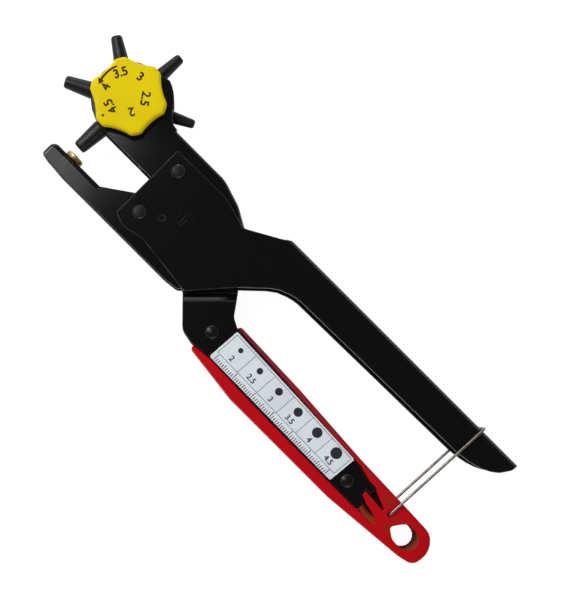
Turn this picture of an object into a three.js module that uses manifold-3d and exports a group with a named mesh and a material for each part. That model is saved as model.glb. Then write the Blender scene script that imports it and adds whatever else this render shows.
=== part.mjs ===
// Revolving punch pliers with compound levers, closed by the wire bail, as they are stored.
// Millimetres, +Z up. The pliers lie on their rear side: X runs from the handles to the
// head, and Y from the turret to the anvil. The origin is under the middle of the rivet
// that carries the lower lever, on the surface that the rear rivet heads rest on.
import * as THREE from 'three';
import * as BufferGeometryUtils from 'three/addons/utils/BufferGeometryUtils.js';
import Module from 'manifold-3d';

const wasm = await Module();
wasm.setup();

// Layers, measured from the middle plane of the pliers.
const wheelHalf = 4.6;
const cheekInner = 5.0;
const sheet = 1.8;
const cheekOuter = cheekInner + sheet;
const pinSink = 0.9;
const stopHalf = cheekInner + pinSink;
const runningGap = 0.3;
const plateSheet = 2.0;
const plateInner = cheekOuter + runningGap;
const plateOuter = plateInner + plateSheet;
const headHeight = 1.4;
const restHalf = plateOuter + headHeight;
const tongueOuter = cheekInner - runningGap;
const tongueInner = tongueOuter - sheet;
const strapStep = 3.3;
const strapOuter = tongueOuter + strapStep;
const strapInner = strapOuter - sheet;
const rimHeight = 1;
const gripHalf = strapOuter + rimHeight;

// Clearances, and the overrun that every cut shares.
const fitGap = 0.3;
const seatGap = 0.15;
const overrun = 1;

// Pivots: the lever's rivet is at X = 0, Y = 0.
const jawPivot = { x: 0.5, y: -21 };
const leverPivot = { x: 0, y: 0 };
const drivePin = { x: -20, y: -12 };
const jawKey = { x: -7.5, y: -4.45 };

// Rivets, pins and bushes.
const rivetShank = 2.0;
const rivetHead = 2.75;
const rivetFlat = 1.9;
const domeHeight = 1;
const bushOuter = 4.3;
const pinRadius = 1.2;
const driveRadius = 1.9;
const keyRadius = 0.8;

// Upper handle.
const handleReach = 168;
const handleTop = 33.3;
const plateFront = 6.3;
const plateTop = 26.6;
const plateBottom = 8.2;
const heelDrop = 1;
const toeRound = 1.6;
const webStart = 46.5;
const bendOuter = 2.6;
const bendInner = 0.8;

// Turret jaw.
const headRadius = 14.5;
const shoulderRadius = 17;
const neckTop = 31.7;
const neckBottom = 12.5;
const jawBoss = 8.5;
const jawTail = 32.5;
const punchClearX = 6.2;
const webEarX = 12;

// Turret: its centre stands off the web by the longest punch, and off the anvil by the
// punch and the bite that a full squeeze closes.
const punchReach = 26;
const sweepGap = 0.8;
const bite = 2.75;
const anvilWebTop = 3.4;
const anvilThickness = 1.9;
const anvilFace = anvilWebTop - seatGap - anvilThickness;
const turretCentre = { x: punchClearX + sweepGap + punchReach, y: anvilFace - bite - punchReach };

// Anvil jaw and anvil.
const anvilLag = 0.1;
const anvilX = turretCentre.x - anvilLag;
const anvilRadius = 3.7;
const anvilStem = 1.6;
const jawTipRun = 9.4;
const anvilJawTip = anvilX + jawTipRun;
const anvilJawOuter = 11;
const anvilWebStart = 17.5;
const anvilJawTail = 31.8;
const anvilBoss = 7.1;

// Lower lever: the grip ends just short of the handle, and what it carries keeps its place
// from the grip's end.
const tipStep = 1;
const gripReach = handleReach - tipStep;
const gripEdge = 25.5;
const gripFrontShare = 0.293;
const strapShort = 30.6;
const strapReach = gripReach - strapShort;
const strapEdge = 21.1;
const lowerRivetInset = 9.9;
const bailInset = 20.5;
const holeInset = 11;
const upperRivetInset = 2.17;
const upperGripRivet = { x: -gripFrontShare * gripReach - upperRivetInset, y: 12.6 };
const lowerGripRivet = { x: lowerRivetInset - strapReach, y: 16.2 };
const bailPivot = { x: bailInset - gripReach, y: 14 };
const holeCentre = { x: holeInset - gripReach, y: 15.6 };
const gripRound = 1.2;
const holeLong = 6.2;
const holeShort = 4.3;
const leverBoss = 6.8;
const driveBoss = 4.4;
const joggleAlong = 31;
const joggleRun = 3;

// Wheel, axle, ball and waste box.
const wheelRadius = 14.2;
const holeSizes = [4.5, 4, 3.5, 3, 2.5, 2];
const firstPunchAngle = THREE.MathUtils.degToRad(86.5);
const punchFlare = 1.2;
const punchEdge = 0.15;
const axleOuter = 8.6;
const axleInner = 7.3;
const axleFlange = 10.6;
const flangeThickness = 0.9;
const axleFront = 9.6;
const ringThickness = 0.9;
const ballRadius = 1.3;
const ballCircleRadius = 12.4;
const springSheet = 0.6;
const boxTop = 14.4;
const boxWall = 1.4;
const rimBase = 10.9;
const lobeOuter = 14.6;
const lobeInner = 12.8;
const scallopRadius = 21;

// Springs and wire.
const springWire = 1.1;
const springCoilRadius = 5.35;
const springTurns = 2;
const springPitch = 1.75;
const springSpread = THREE.MathUtils.degToRad(20);
const springLegLength = 20;
const stopLegLength = 14;
const pinInset = 2;
const bailWire = 1.1;
const bailGap = 0.2;
const bailSide = plateOuter + bailGap + bailWire / 2;
const bailInner = 4;
const bailLean = 2.4;
const bailBend = 1.6;

// Places that follow from the sizes above.
const driveSlope = THREE.MathUtils.degToRad(-13.9);
const driveSlotLength = 2.4;
const ballLift = 0.05;
const ballHeight = -wheelHalf - ballLift - ballRadius;
const ballPlace = { x: turretCentre.x - ballCircleRadius, y: turretCentre.y };
const indexRivetInset = 6.1;
const indexRivetPlace = { x: plateFront + indexRivetInset, y: turretCentre.y };
const springStopGap = springWire / 2 + seatGap + pinRadius;
const springStop = { x: stopLegLength - pinInset, y: leverPivot.y + springCoilRadius + springStopGap };
const springEnd = Math.PI / 2 + springSpread;
const springTouch = polar(leverPivot, springCoilRadius, springEnd);
const springFoot = polar(springTouch, springLegLength - pinInset, springEnd + Math.PI / 2);
const springPin = polar(springFoot, springWire / 2 + fitGap + pinRadius, springEnd);

// Finishes, with the colours of the photograph.
const blackPaint = { color: 0x151417, roughness: 0.42, metalness: 0.2 };
const blackSteel = { color: 0x2a292c, roughness: 0.38, metalness: 0.7 };
const brightSteel = { color: 0x9a9a98, roughness: 0.3, metalness: 0.95 };
const brass = { color: 0xb08a3c, roughness: 0.3, metalness: 0.95 };
const redPlastic = { color: 0xc00d1c, roughness: 0.45, metalness: 0 };
const yellowPlastic = { color: 0xf2dc10, roughness: 0.4, metalness: 0 };

// Fineness: coarsest step of an arc, sides of a round piece, and the merging distance.
const arcStep = THREE.MathUtils.degToRad(18);
const roundSides = 24;
const smallSides = 12;
const punchSides = 18;
const lobeSteps = 72;
const coilSteps = 8;
const mergeStep = 1e-4;

const pliers = new THREE.Group();
const middle = new THREE.Group();
middle.position.z = restHalf;
pliers.add(middle);

// A closed geometry as a solid for joining and cutting, without its empty triangles.
function solidOf(geometry) {
  const plain = geometry.clone();
  plain.deleteAttribute('normal');
  plain.deleteAttribute('uv');
  const merged = BufferGeometryUtils.mergeVertices(plain, mergeStep);
  const corners = merged.index.array;
  const kept = [];
  for (let first = 0; first < corners.length; first += 3) {
    const [a, b, c] = corners.slice(first, first + 3);
    if (a !== b && b !== c && c !== a) kept.push(a, b, c);
  }
  return new wasm.Manifold(new wasm.Mesh({
    numProp: 3,
    vertProperties: new Float32Array(merged.attributes.position.array),
    triVerts: new Uint32Array(kept),
  }));
}

// The geometry of a solid.
function geometryOf(solid) {
  const mesh = solid.getMesh();
  const geometry = new THREE.BufferGeometry();
  geometry.setAttribute('position', new THREE.BufferAttribute(new Float32Array(mesh.vertProperties), 3));
  geometry.setIndex(new THREE.BufferAttribute(new Uint32Array(mesh.triVerts), 1));
  return geometry;
}

// A named mesh of a solid.
function addPiece(name, solid, finish) {
  const geometry = geometryOf(solid);
  geometry.computeVertexNormals();
  const piece = new THREE.Mesh(geometry, new THREE.MeshStandardMaterial(finish));
  piece.name = name;
  middle.add(piece);
}

// Points of a closed outline whose corners [x, y, radius] are rounded by arcs.
function roundedPoints(corners) {
  const points = [];
  corners.forEach(([x, y, radius = 0], index) => {
    const here = new THREE.Vector2(x, y);
    if (radius === 0) {
      points.push(here);
      return;
    }
    const [beforeX, beforeY] = corners[(index + corners.length - 1) % corners.length];
    const [afterX, afterY] = corners[(index + 1) % corners.length];
    const back = new THREE.Vector2(beforeX, beforeY).sub(here).normalize();
    const ahead = new THREE.Vector2(afterX, afterY).sub(here).normalize();
    const half = Math.acos(THREE.MathUtils.clamp(back.dot(ahead), -1, 1)) / 2;
    const centre = back.clone().add(ahead).normalize().multiplyScalar(radius / Math.sin(half)).add(here);
    const start = back.clone().multiplyScalar(radius / Math.tan(half)).add(here).sub(centre);
    const end = ahead.clone().multiplyScalar(radius / Math.tan(half)).add(here).sub(centre);
    const sweep = Math.atan2(start.cross(end), start.dot(end));
    const steps = Math.max(1, Math.ceil(Math.abs(sweep) / arcStep));
    for (let step = 0; step <= steps; step += 1) {
      points.push(start.clone().rotateAround(new THREE.Vector2(), (sweep * step) / steps).add(centre));
    }
  });
  return points;
}

// The points of an outline moved outward by a distance.
function grownPoints(points, distance) {
  const turn = THREE.ShapeUtils.area(points) > 0 ? 1 : -1;
  return points.map((here, index) => {
    const before = points[(index + points.length - 1) % points.length];
    const after = points[(index + 1) % points.length];
    const first = here.clone().sub(before).normalize();
    const second = after.clone().sub(here).normalize();
    const outward = new THREE.Vector2(first.y + second.y, -first.x - second.x).multiplyScalar(turn / 2);
    return here.clone().addScaledVector(outward, distance / outward.lengthSq());
  });
}

// A flat piece between two heights, from the points of its outline.
function slab(points, from, to) {
  const shape = new THREE.Shape(points);
  const geometry = new THREE.ExtrudeGeometry(shape, { depth: to - from, bevelEnabled: false });
  return solidOf(geometry.translate(0, 0, from));
}

// A flat piece whose outer edges are rounded over, as a pressed channel's bends are.
function roundedSlab(points, half, radius) {
  const geometry = new THREE.ExtrudeGeometry(new THREE.Shape(points), {
    depth: 2 * (half - radius),
    bevelThickness: radius,
    bevelSize: radius,
    bevelOffset: -radius,
    bevelSegments: 3,
  });
  return solidOf(geometry.translate(0, 0, radius - half));
}

// A box between two corners.
function block(x0, y0, z0, x1, y1, z1) {
  const geometry = new THREE.BoxGeometry(x1 - x0, y1 - y0, z1 - z0);
  return solidOf(geometry.translate((x0 + x1) / 2, (y0 + y1) / 2, (z0 + z1) / 2));
}

// A turned piece about Z from [radius, height] pairs, at a place.
function turned(profile, place, segments = roundSides) {
  const points = profile.map(([radius, height]) => new THREE.Vector2(radius, height));
  const geometry = new THREE.LatheGeometry(points, segments).rotateX(Math.PI / 2);
  return solidOf(geometry.translate(place.x, place.y, 0));
}

// A plain round bar about Z.
function bar(place, radius, from, to, segments = roundSides) {
  return turned([[0, from], [radius, from], [radius, to], [0, to]], place, segments);
}

// A tube from one height to another about Z.
function tube(place, outer, inner, from, to, segments = roundSides) {
  return turned([[inner, from], [outer, from], [outer, to], [inner, to], [inner, from]], place, segments);
}

// The same solid on the other side of the middle plane.
function reflected(solid) {
  const geometry = geometryOf(solid);
  const corners = geometry.index.array;
  for (let first = 0; first < corners.length; first += 3) {
    [corners[first], corners[first + 1]] = [corners[first + 1], corners[first]];
  }
  return solidOf(geometry.scale(1, 1, -1));
}

// A bar of constant section along X, from points [z, y] of the section.
function alongX(points, from, to) {
  const shape = new THREE.Shape(points);
  const geometry = new THREE.ExtrudeGeometry(shape, { depth: to - from, bevelEnabled: false });
  return solidOf(geometry.translate(0, 0, from).rotateY(Math.PI / 2));
}

// A round wire through points, with flat ends: a ring of corners across the way at each point.
function wire(points, radius, sides) {
  const positions = [];
  const faces = [];
  let side = new THREE.Vector3(1, 1, 1);
  points.forEach((point, index) => {
    const before = points[Math.max(index - 1, 0)];
    const after = points[Math.min(index + 1, points.length - 1)];
    const ahead = after.clone().sub(before).normalize();
    side = side.clone().addScaledVector(ahead, -side.dot(ahead)).normalize();
    const up = new THREE.Vector3().crossVectors(ahead, side);
    for (let corner = 0; corner < sides; corner += 1) {
      const angle = (2 * Math.PI * corner) / sides;
      const rim = point.clone();
      rim.addScaledVector(side, radius * Math.cos(angle)).addScaledVector(up, radius * Math.sin(angle));
      positions.push(rim.x, rim.y, rim.z);
    }
  });
  const last = (points.length - 1) * sides;
  for (let corner = 0; corner < sides; corner += 1) {
    const next = (corner + 1) % sides;
    for (let ring = 0; ring < last; ring += sides) {
      faces.push(ring + corner, ring + next, ring + sides + next);
      faces.push(ring + corner, ring + sides + next, ring + sides + corner);
    }
    if (corner > 0 && next > 0) {
      faces.push(0, next, corner);
      faces.push(last, last + corner, last + next);
    }
  }
  const geometry = new THREE.BufferGeometry();
  geometry.setAttribute('position', new THREE.Float32BufferAttribute(positions, 3));
  geometry.setIndex(faces);
  return solidOf(geometry);
}

// A round slot through the whole part, from one place to another.
function slot(start, end, radius, half) {
  const along = new THREE.Vector2(end.x - start.x, end.y - start.y).normalize();
  const side = new THREE.Vector2(-along.y, along.x).multiplyScalar(radius);
  const middlePart = slab([
    new THREE.Vector2(start.x, start.y).sub(side),
    new THREE.Vector2(end.x, end.y).sub(side),
    new THREE.Vector2(end.x, end.y).add(side),
    new THREE.Vector2(start.x, start.y).add(side),
  ], -half, half);
  return middlePart.add(bar(start, radius, -half, half)).add(bar(end, radius, -half, half));
}

// A place at a distance and an angle from another.
function polar(centre, radius, angle) {
  return { x: centre.x + radius * Math.cos(angle), y: centre.y + radius * Math.sin(angle) };
}

// Corners given as shares of a length, a depth and, for the rounding, the depth again.
function sharedCorners(shares, length, depth) {
  return shares.map(([along, across, rounding = 0]) => [along * length, across * depth, rounding * depth]);
}

// Upper handle: a channel whose web runs along the outer edge, and whose sides widen into
// the two plates of the head. Shares are of handleReach and handleTop.
const handleOuterShares = [
  [-0.119, -0.806, 0.3],
  [-0.189, -0.7, 0.1],
  [-0.27, -0.93, 0.09],
  [-0.287, -1, 0.06],
  [-1, -1, 0.01],
  [-0.996, -0.905, 0.06],
  [-0.98, -0.785, 0.2],
  [-0.956, -0.7, 0.3],
  [-0.92, -0.643, 0.4],
  [-0.88, -0.617, 0.3],
  [-0.39, -0.573, 0.3],
  [-0.343, -0.515, 0.5],
  [-0.278, -0.204, 0.25],
];

function upperHandle() {
  const outline = roundedPoints([
    [plateFront, -plateTop, keyRadius],
    ...sharedCorners(handleOuterShares, handleReach, handleTop),
    [-anvilJawTail - heelDrop, plateBottom + heelDrop, keyRadius],
    [-anvilBoss - heelDrop, plateBottom - rivetFlat, anvilBoss],
    [keyRadius, plateBottom, anvilBoss],
    [plateFront, plateBottom - rivetFlat, toeRound],
  ]);
  const far = handleReach + handleTop;
  const outer = roundedPoints([
    [-plateOuter, -handleTop, bendOuter],
    [plateOuter, -handleTop, bendOuter],
    [plateOuter, handleTop],
    [-plateOuter, handleTop],
  ]);
  const inner = roundedPoints([
    [-plateInner, plateSheet - handleTop, bendInner],
    [plateInner, plateSheet - handleTop, bendInner],
    [plateInner, handleTop],
    [-plateInner, handleTop],
  ]);
  let body = slab(outline, -plateOuter, plateOuter).intersect(alongX(outer, -far, far));
  body = body.subtract(alongX(inner, -far, far));
  body = body.subtract(block(-webStart, -far, -plateInner, far, far, plateInner));
  for (const pivot of [jawPivot, leverPivot]) {
    body = body.subtract(bar(pivot, rivetShank + fitGap, -restHalf, restHalf, smallSides));
  }
  return body.subtract(bar(jawKey, keyRadius + seatGap, -restHalf, restHalf, smallSides));
}

// Anvil jaw: a channel with its web towards the turret, curled round the tip, and with
// cheeks that widen behind the throat. Shares are of anvilJawTip and anvilJawOuter.
const anvilCheekShares = [
  [0.053, -0.655, 0.4],
  [-0.223, -0.655, 0.24],
  [-0.752, 0.32, 0.4],
  [-0.752, 0.92, 0.3],
  [-0.564, 1, 0.4],
  [0.75, 1, 0.4],
  [1, 0.93, 0.16],
];

function anvilJaw() {
  const outline = roundedPoints([
    [anvilJawTip, anvilWebTop, bendOuter],
    [anvilWebStart, anvilWebTop],
    ...sharedCorners(anvilCheekShares, anvilJawTip, anvilJawOuter),
  ]);
  const far = anvilJawTip + handleTop;
  const bentEdges = roundedSlab(roundedPoints([
    [anvilJawTip, anvilWebTop, bendOuter],
    [anvilJawTip, far],
    [-far, far],
    [-far, anvilWebTop],
  ]), cheekOuter, sheet);
  const behind = block(-far, -far, -cheekOuter, anvilWebStart, far, cheekOuter);
  const hollow = roundedPoints([
    [anvilJawTip - sheet, anvilWebTop + sheet, bendInner],
    [anvilJawTip - sheet, far],
    [-far, far],
    [-far, -far],
    [anvilWebStart, -far],
    [anvilWebStart, anvilWebTop + sheet],
  ]);
  let body = slab(outline, -cheekOuter, cheekOuter).intersect(bentEdges.add(behind));
  body = body.subtract(slab(hollow, -cheekInner, cheekInner));
  body = body.subtract(bar(leverPivot, rivetShank + fitGap, -restHalf, restHalf, smallSides));
  body = body.subtract(bar(jawKey, keyRadius + seatGap, -restHalf, restHalf, smallSides));
  const stopHole = stopHalf + seatGap;
  body = body.subtract(bar(springStop, pinRadius + seatGap, -stopHole, stopHole, smallSides));
  return body.subtract(upright({ x: anvilX, y: 0 }, anvilStem + seatGap, 0, anvilJawOuter));
}

// A round bar along Y at a place, from one Y to another.
function upright(place, radius, from, to, segments = smallSides) {
  const geometry = new THREE.CylinderGeometry(radius, radius, to - from, segments);
  return solidOf(geometry.translate(place.x, (from + to) / 2, 0));
}

// Anvil: a brass disc with a darker foot, riveted through the web.
function anvilDisc() {
  const edge = anvilThickness / 4;
  const points = [
    [0, anvilFace],
    [anvilRadius - edge, anvilFace],
    [anvilRadius, anvilFace + edge],
    [anvilRadius, anvilWebTop - seatGap],
    [anvilStem, anvilWebTop - seatGap],
    [anvilStem, anvilWebTop + sheet + fitGap],
    [0, anvilWebTop + sheet + fitGap],
  ].map(([radius, height]) => new THREE.Vector2(radius, height));
  return solidOf(new THREE.LatheGeometry(points, roundSides).translate(anvilX, 0, 0));
}

// Turret jaw: a channel with its web along the outer edge, and two cheeks that carry the
// turret. The web stops short of the turning punches, and only its bends go on as ears.
// Shares are of jawTail and neckTop.
const jawTailShares = [
  [-0.56, -0.236, 0.13],
  [-0.8, -0.28, 0.16],
  [-1.01, -0.6, 0.16],
  [-0.99, -0.755, 0.03],
  [-0.755, -0.893, 0.4],
  [-0.43, -1, 0.4],
];

function turretJaw() {
  const far = turretCentre.x + neckTop;
  const neck = roundedPoints([
    [turretCentre.x, -neckBottom],
    [jawPivot.x, -neckBottom, jawBoss],
    ...sharedCorners(jawTailShares, jawTail, neckTop),
    [punchClearX + sheet, -neckTop, jawBoss],
    [webEarX + bendOuter, -neckTop - bendInner, bendOuter],
    [turretCentre.x - headRadius, turretCentre.y - jawBoss],
    [turretCentre.x, turretCentre.y],
  ]);
  const shoulder = [new THREE.Vector2(turretCentre.x, turretCentre.y)];
  for (const degrees of [-86, -110, -117, -124, -131, -138, -145, -152]) {
    const radius = degrees > -90 ? headRadius : shoulderRadius;
    const place = polar(turretCentre, radius, THREE.MathUtils.degToRad(degrees));
    shoulder.push(new THREE.Vector2(place.x, place.y));
  }
  const tailBends = sharedCorners(jawTailShares, jawTail, neckTop).slice(3);
  const bentEdges = roundedSlab(roundedPoints([
    [-far, -far],
    ...tailBends.map(([x, y]) => [x, y]),
    [far, -neckTop],
    [far, far],
    [-far, far],
  ]), cheekOuter, sheet);
  const hollow = roundedPoints([
    [punchClearX, sheet - neckTop],
    [tailBends[2][0], sheet - neckTop, jawBoss],
    [tailBends[1][0] + sheet / 2, tailBends[1][1] + sheet, jawBoss],
    [-jawTail - sheet, tailBends[0][1] + sheet],
    [-jawTail - sheet, far],
    [far, far],
    [far, -far],
    [webEarX, -far],
    [webEarX, sheet - neckTop],
  ]);
  let body = slab(neck, -cheekOuter, cheekOuter).add(slab(shoulder, -cheekOuter, cheekOuter));
  const head = bar(turretCentre, headRadius, -cheekOuter, cheekOuter);
  const freeHead = block(webEarX, -far, -cheekOuter, far, far, cheekOuter);
  body = body.add(head).intersect(bentEdges.add(freeHead));
  body = body.subtract(slab(hollow, -cheekInner, cheekInner));
  body = body.subtract(block(punchClearX, -far, -wheelHalf, far, far, wheelHalf));
  body = body.subtract(bar(jawPivot, rivetShank + fitGap, -restHalf, restHalf, smallSides));
  body = body.subtract(bar(turretCentre, axleOuter + fitGap, -restHalf, restHalf));
  const slide = polar(drivePin, driveSlotLength, driveSlope);
  body = body.subtract(slot(drivePin, slide, driveRadius + fitGap, restHalf));
  body = body.subtract(bar(ballPlace, ballRadius + seatGap, -restHalf, 0, smallSides));
  return body.subtract(bar(indexRivetPlace, keyRadius + seatGap, -restHalf, 0, smallSides));
}

// A rivet right through the head: bevelled heads with a flat middle.
function headedRivet(place) {
  const under = plateOuter + seatGap;
  const bevel = restHalf - (restHalf - under) / 2;
  return turned([
    [0, -restHalf],
    [rivetFlat, -restHalf],
    [rivetHead, -bevel],
    [rivetHead, -under],
    [rivetShank, -under],
    [rivetShank, under],
    [rivetHead, under],
    [rivetHead, bevel],
    [rivetFlat, restHalf],
    [0, restHalf],
  ], place);
}

// A domed rivet through both straps of the lever and the grip between them.
function domedRivet(place) {
  const under = strapOuter + seatGap;
  const rings = [[rivetShank, -under], [rivetShank, under]];
  for (let step = 0; step <= 3; step += 1) {
    const angle = (step * Math.PI) / 6;
    rings.push([rivetHead * Math.cos(angle), under + domeHeight * Math.sin(angle)]);
    rings.unshift([rivetHead * Math.cos(angle), -under - domeHeight * Math.sin(angle)]);
  }
  return turned(rings.map(([radius, height]) => [Math.abs(radius) < mergeStep ? 0 : radius, height]), place);
}

// Straps of the lower lever: a tongue between the jaws that steps outward to the grip.
// Shares are of strapReach and strapEdge.
const strapShares = [
  [-0.233, 0.422, 0.1],
  [-0.31, 0.93, 0.2],
  [-0.355, 0.99, 0.2],
  [-0.42, 0.945, 0.3],
  [-0.62, 0.985, 0.3],
  [-1, 1, 0.05],
  [-1, 0.8, 0.03],
  [-0.982, 0.76],
  [-0.98, 0.645],
  [-1, 0.64],
  [-1, 0.51, 0.02],
  [-0.965, 0.49],
  [-0.925, 0.42, 0.05],
  [-0.67, 0.34, 0.3],
  [-0.42, 0.235, 0.2],
  [-0.388, 0.13, 0.2],
  [-0.344, -0.275, 0.1],
];

function strapOutline() {
  return roundedPoints([
    [leverPivot.x, leverPivot.y],
    [leverPivot.x, leverPivot.y + leverBoss],
    ...sharedCorners(strapShares, strapReach, strapEdge),
    [drivePin.x - rivetFlat, drivePin.y - driveBoss + bendInner / 2],
    [drivePin.x + rivetFlat, drivePin.y - driveBoss + bendInner / 2],
    [leverPivot.x + driveBoss, leverPivot.y - leverBoss + rivetFlat],
  ]);
}

function leverStrap() {
  const diagonal = Math.SQRT1_2;
  const far = strapReach + strapEdge;
  const lean = sheet * Math.tan(Math.atan2(strapStep, joggleRun) / 2);
  const bend = new THREE.Shape([
    [-far, tongueInner],
    [joggleAlong, tongueInner],
    [joggleAlong + joggleRun, strapInner],
    [far, strapInner],
    [far, strapOuter],
    [joggleAlong + joggleRun - lean, strapOuter],
    [joggleAlong - lean, tongueOuter],
    [-far, tongueOuter],
  ].map(([along, height]) => new THREE.Vector2(along, height)));
  const across = new THREE.ExtrudeGeometry(bend, { depth: 2 * far, bevelEnabled: false });
  across.translate(0, 0, -far).applyMatrix4(new THREE.Matrix4().makeBasis(
    new THREE.Vector3(-diagonal, diagonal, 0),
    new THREE.Vector3(0, 0, 1),
    new THREE.Vector3(diagonal, diagonal, 0),
  ));
  let body = slab(strapOutline(), 0, restHalf);
  body = body.add(bar(leverPivot, leverBoss, 0, restHalf)).add(bar(drivePin, driveBoss, 0, restHalf));
  body = body.intersect(solidOf(across));
  for (const place of [leverPivot, upperGripRivet, lowerGripRivet]) {
    body = body.subtract(bar(place, rivetShank + fitGap, -restHalf, restHalf, smallSides));
  }
  body = body.subtract(bar(drivePin, driveRadius + seatGap, -restHalf, restHalf, smallSides));
  return body.subtract(bar(springPin, pinRadius + seatGap, -restHalf, restHalf, smallSides));
}

// Grip: one moulding round the straps, with rims, a hanging hole and a bearing for the bail.
// Shares are of gripReach and gripEdge.
const gripShares = [
  [-0.344, 0.133, 0.05],
  [-0.536, 0.175, 0.3],
  [-0.741, 0.263, 0.3],
  [-0.904, 0.298, 0.3],
  [-0.978, 0.318, 0.25],
  [-1.003, 0.55, 0.3],
  [-0.996, 0.83, 0.15],
  [-0.96, 0.886, 0.3],
  [-0.76, 1, 0.4],
  [-0.443, 1, 0.4],
  [-gripFrontShare, 0.88, 0.05],
];
const gripCoreShares = [
  [-0.36, 0.24],
  [-0.296, 0.29, 0.08],
  [-0.28, 0.75, 0.08],
  [-0.36, 0.8],
];
const wedgeShares = [
  [-0.81, 0.41],
  [-0.86, 0.545, 0.01],
  [-0.861, 0.572, 0.01],
  [-0.81, 0.55],
];
const recessShares = [
  [-0.813, 0.655, 0.02],
  [-0.857, 0.72, 0.03],
  [-0.872, 0.79, 0.03],
  [-0.857, 0.843, 0.03],
  [-0.82, 0.828, 0.02],
];

function redGrip() {
  const outline = roundedPoints(sharedCorners(gripShares, gripReach, gripEdge));
  const core = roundedPoints(sharedCorners(gripCoreShares, gripReach, gripEdge));
  const window = grownPoints(strapOutline(), fitGap);
  const wedge = roundedPoints(sharedCorners(wedgeShares, gripReach, gripEdge));
  const recess = roundedPoints(sharedCorners(recessShares, gripReach, gripEdge));
  const bed = strapInner - fitGap;
  let body = roundedSlab(outline, gripHalf, gripRound);
  const pockets = slab(window, bed, restHalf).add(slab(wedge, bed, restHalf));
  body = body.subtract(pockets).subtract(reflected(pockets));
  const shallow = slab(recess, gripHalf - sheet, restHalf);
  body = body.subtract(shallow).subtract(reflected(shallow));
  body = body.add(slab(core, -bed, bed));
  const hole = roundedPoints([
    [holeCentre.x + holeLong, holeCentre.y + holeShort / 3, holeShort / 3],
    [holeCentre.x + holeLong / 3, holeCentre.y - holeShort, holeShort],
    [holeCentre.x - holeLong, holeCentre.y - holeShort, holeShort],
    [holeCentre.x - holeLong, holeCentre.y + holeShort, holeShort],
    [holeCentre.x + holeLong / 3, holeCentre.y + holeShort, holeShort],
  ]);
  body = body.subtract(slab(hole, -restHalf, restHalf));
  for (const place of [upperGripRivet, lowerGripRivet]) {
    body = body.subtract(bar(place, rivetShank + fitGap, -restHalf, restHalf, smallSides));
  }
  const bearing = bar(bailPivot, bailWire / 2 + fitGap, bailInner - fitGap, restHalf, smallSides);
  return body.subtract(bearing).subtract(reflected(bearing));
}

// Turret wheel: six threaded sockets round a bore, and a ring of dimples for the ball.
function turretWheel() {
  let body = bar(turretCentre, wheelRadius, -wheelHalf, wheelHalf, roundSides);
  body = body.subtract(bar(turretCentre, axleOuter + seatGap, -restHalf, restHalf));
  holeSizes.forEach((size, index) => {
    const angle = punchAngle(index);
    body = body.subtract(radial(angle, punchNeck(size) + seatGap, axleInner, wheelRadius + overrun));
    const dimple = polar(turretCentre, ballCircleRadius, Math.PI + punchAngle(index) - firstPunchAngle);
    const ball = new THREE.SphereGeometry(ballRadius + fitGap, smallSides / 2, smallSides / 4);
    body = body.subtract(solidOf(ball.translate(dimple.x, dimple.y, ballHeight)));
  });
  return body;
}

// Angle of a punch, and the radius of the neck that screws into the wheel.
function punchAngle(index) {
  return firstPunchAngle - (index * 2 * Math.PI) / holeSizes.length;
}

function punchNeck(size) {
  return size / 2 + punchFlare / 2;
}

// A round bar along a radius of the turret.
function radial(angle, radius, from, to) {
  return spun([[0, from], [radius, from], [radius, to], [0, to]], angle, smallSides);
}

// A piece turned about a radius of the turret, from [radius, distance] pairs.
function spun(profile, angle, segments) {
  const points = profile.map(([radius, distance]) => new THREE.Vector2(radius, distance));
  const geometry = new THREE.LatheGeometry(points, segments).rotateZ(angle - Math.PI / 2);
  return solidOf(geometry.translate(turretCentre.x, turretCentre.y, 0));
}

// Hollow punch: a neck in the wheel, a tapering body and a rounded cutting end.
function punch(size, angle) {
  const cutting = size / 2;
  const bore = cutting + punchEdge;
  return spun([
    [bore, axleOuter + fitGap],
    [punchNeck(size), axleOuter + fitGap],
    [punchNeck(size), wheelRadius + seatGap],
    [cutting + punchFlare, wheelRadius + seatGap],
    [cutting + punchFlare, wheelRadius + punchFlare],
    [cutting + 3 * punchEdge, punchReach - punchFlare],
    [cutting + punchEdge, punchReach - punchEdge],
    [cutting, punchReach],
    [cutting - punchEdge, punchReach - punchFlare],
    [bore, punchReach - 2 * punchFlare],
    [bore, axleOuter + fitGap],
  ], angle, punchSides);
}

// Hollow axle: a cup with a rear flange, and a window at each punch.
function turretAxle() {
  const floor = cheekOuter + seatGap;
  let body = turned([
    [0, -floor - flangeThickness],
    [axleFlange, -floor - flangeThickness],
    [axleFlange, -floor],
    [axleOuter, -floor],
    [axleOuter, axleFront],
    [axleInner, axleFront],
    [axleInner, -floor],
    [0, -floor],
  ], turretCentre);
  holeSizes.forEach((size, index) => {
    body = body.subtract(radial(punchAngle(index), size / 2 + punchEdge, axleInner - overrun, axleFlange));
  });
  return body;
}

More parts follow.
